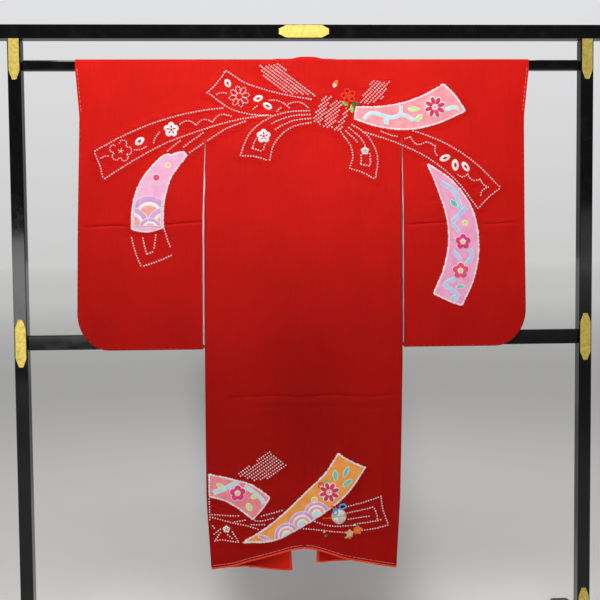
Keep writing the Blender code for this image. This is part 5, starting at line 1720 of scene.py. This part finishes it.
# two small blossoms with leaves, below the ball and to its right
for x, z, radius, colour in ((0.100, 0.279, 0.0100, PINK_T), (0.120, 0.286, 0.0112, ORANGE_T)):
    for petal in range(5):
        degrees = 90 + 72 * petal
        add_satin(form, *spoke(x, z, radius * 0.55, math.radians(degrees)), radius * 0.95, radius * 0.75,
                  degrees, colour, threads=7)
    add_disc(form, x, z, 0.0016, 0.0012, 0.0008, GOLD_T, 8, 2)
add_satin(form, 0.1170, 0.2975, 0.0085, 0.0048, 60, DEEP_T, threads=6)
add_satin(form, 0.1130, 0.2995, 0.0060, 0.0040, 150, WHITE_T, threads=5)
add_satin(form, 0.0920, 0.2700, 0.0085, 0.0048, 200, LIGHT_T, threads=6)
add_satin(form, 0.1000, 0.2680, 0.0070, 0.0045, -60, ORANGE_T, threads=6)
add_satin(form, 0.0420, 0.2740, 0.0080, 0.0052, 200, DEEP_T, threads=6)
add_satin(form, 0.0380, 0.2840, 0.0070, 0.0052, 30, PINK_T, threads=6)
embroidery = new_piece("embroidery", mesh_from(form, "embroidery"), thread_looks)

# the thread ball is padded, wound in white, with coloured bands round it
BALL_MIDDLE = np.array((0.0740, 0.3220))
BALL_RADIUS = 0.0180
BALL_HEIGHT = 0.0062
# start and end of a band on the rim in degrees, bow, colour
BALL_BANDS = (
    (188, 5, 0.14, DEEP_T), (184, 9, 0.04, LIGHT_T), (180, 13, -0.05, LIGHT_T), (176, 17, -0.13, GOLD_T),
    (172, 21, -0.20, GOLD_T), (166, 27, -0.28, ORANGE_T), (250, 60, 0.05, PINK_T), (256, 54, 0.0, PINK_T),
    (300, 110, -0.06, GOLD_T), (294, 116, 0.0, GOLD_T), (215, 330, -0.12, WHITE_T),
    (222, 322, -0.05, DARK_T),
)


def ball_path(start, end, bow):
    """Path over the padded ball from one point of its rim to another, bowed to one side."""
    t = np.linspace(0.0, 1.0, 17)[:, None]
    first, last = (np.array(spoke(0.0, 0.0, 1.0, math.radians(at))) for at in (start, end))
    way = last - first
    side = np.array((-way[1], way[0])) / max(np.linalg.norm(way), 1e-6)
    flat = first * (1 - t) + last * t + side * bow * np.sin(math.pi * t)
    inside = np.clip(1 - (flat ** 2).sum(1), 0.0, 1.0)
    return lay(BALL_MIDDLE + flat * BALL_RADIUS, 0.0004 + BALL_HEIGHT * np.sqrt(inside))


form = bmesh.new()
rim = circle_outline(*BALL_MIDDLE, BALL_RADIUS, 32)
rim = np.concatenate((rim, rim[:1]))
shares = np.sin(np.linspace(math.pi / 2, 0.0, 10))
spots = BALL_MIDDLE + (rim - BALL_MIDDLE)[None] * shares[:, None, None]
lift = 0.0001 + BALL_HEIGHT * np.sqrt(np.clip(1 - shares ** 2, 0, 1))[:, None]
add_grid(form, lay(spots, lift), WHITE_T)
for start, end, bow, colour in BALL_BANDS:
    add_tube(form, ball_path(start, end, bow), THREAD * 1.15, sides=5, material=colour)
# fine white windings between the bands
for number in range(14):
    winding = ball_path(200 + number * 9, 340 - number * 7, 0.02)
    add_tube(form, winding, THREAD * 0.8, sides=5, material=WHITE_T)
thread_ball = new_piece("thread_ball", mesh_from(form, "thread_ball"), thread_looks)


# Basting stitches
# New kimono keep a line of long loose stitches in white thread, which holds the layers of the
# sleeves and the hem in place until it is worn.
BASTE_THREAD = 0.00034
# how far inside the edge a line of stitches runs, length and pitch of its stitches
HEM_BASTE = (0.0045, 0.0090, 0.0105)
SHOULDER_BASTE = (0.0048, 0.0060, 0.0105)
EDGE_BASTE = (0.0022, 0.0028, 0.0150)
BASTE_RISE = 0.0005
# how far ahead the direction of a stitch is read
BASTE_AHEAD = 0.0005
BASTE_WHITE = (0.90, 0.62, 0.58)
EDGE_PINK = (0.88, 0.16, 0.13)

baste_look = thread_look("basting_thread", BASTE_WHITE)
edge_look = thread_look("edge_thread", EDGE_PINK)


def along_sleeve(side, top, bottom, inset, count):
    """X and Z of a line inside the sleeve's outer edge."""
    z = np.linspace(top, bottom, count)
    return np.stack((side * (sleeve_outer(z) - inset) + sway(z), z), -1)


# path, length and pitch of its stitches, material
baste_paths = []
turn = np.linspace(0.0, math.pi / 2, 40)
corner_z = SLEEVE_BOTTOM + CORNER_HEIGHT * (1 - np.sin(turn))
corner_x = sleeve_outer(corner_z) - CORNER_WIDTH * (1 - np.cos(turn))
low_x = np.linspace(0.456, 0.256, 60)
for side in (-1, 1):
    inset, length, pitch = SHOULDER_BASTE
    baste_paths.append((along_sleeve(side, 1.400, 1.290, inset, 40), length, pitch, 0))
    inset, length, pitch = EDGE_BASTE
    moved = np.stack((np.cos(turn), -np.sin(turn)), -1) * inset
    corner = np.stack((side * (corner_x - moved[:, 0]) + sway(corner_z), corner_z - moved[:, 1]), -1)
    edge = along_sleeve(side, 1.262, corner_z[0], inset, 60)
    low = np.stack((side * low_x + sway(SLEEVE_BOTTOM), np.full(60, SLEEVE_BOTTOM + inset)), -1)
    baste_paths.append((np.concatenate((edge, corner[1:], low[1:])), length, pitch, 1))
    inset, length, pitch = HEM_BASTE
    hem = back_rows(side, np.linspace(0.02, 0.98, 90), HEM_LEVEL)
    baste_paths.append((np.stack((hem[:, 0], hem[:, 2] + inset), -1), length, pitch, 0))

form = bmesh.new()
stitch_rise = BASTE_RISE * (1 - np.linspace(-1, 1, 5) ** 2) + 0.0001
for path, length, pitch, colour in baste_paths:
    middles = spaced(path, pitch, pitch / 2)
    ahead = spaced(path, pitch, pitch / 2 + BASTE_AHEAD)
    for middle, beyond in zip(middles, ahead):
        way = (beyond - middle) / BASTE_AHEAD
        t = np.linspace(-0.5, 0.5, 5) + draw.uniform(-0.1, 0.1)
        spots = middle + way * (t * length * draw.uniform(0.8, 1.1))[:, None]
        add_tube(form, lay(spots, stitch_rise), BASTE_THREAD, sides=5, material=colour)
basting = new_piece("basting_stitches", mesh_from(form, "basting_stitches"), [baste_look, edge_look])
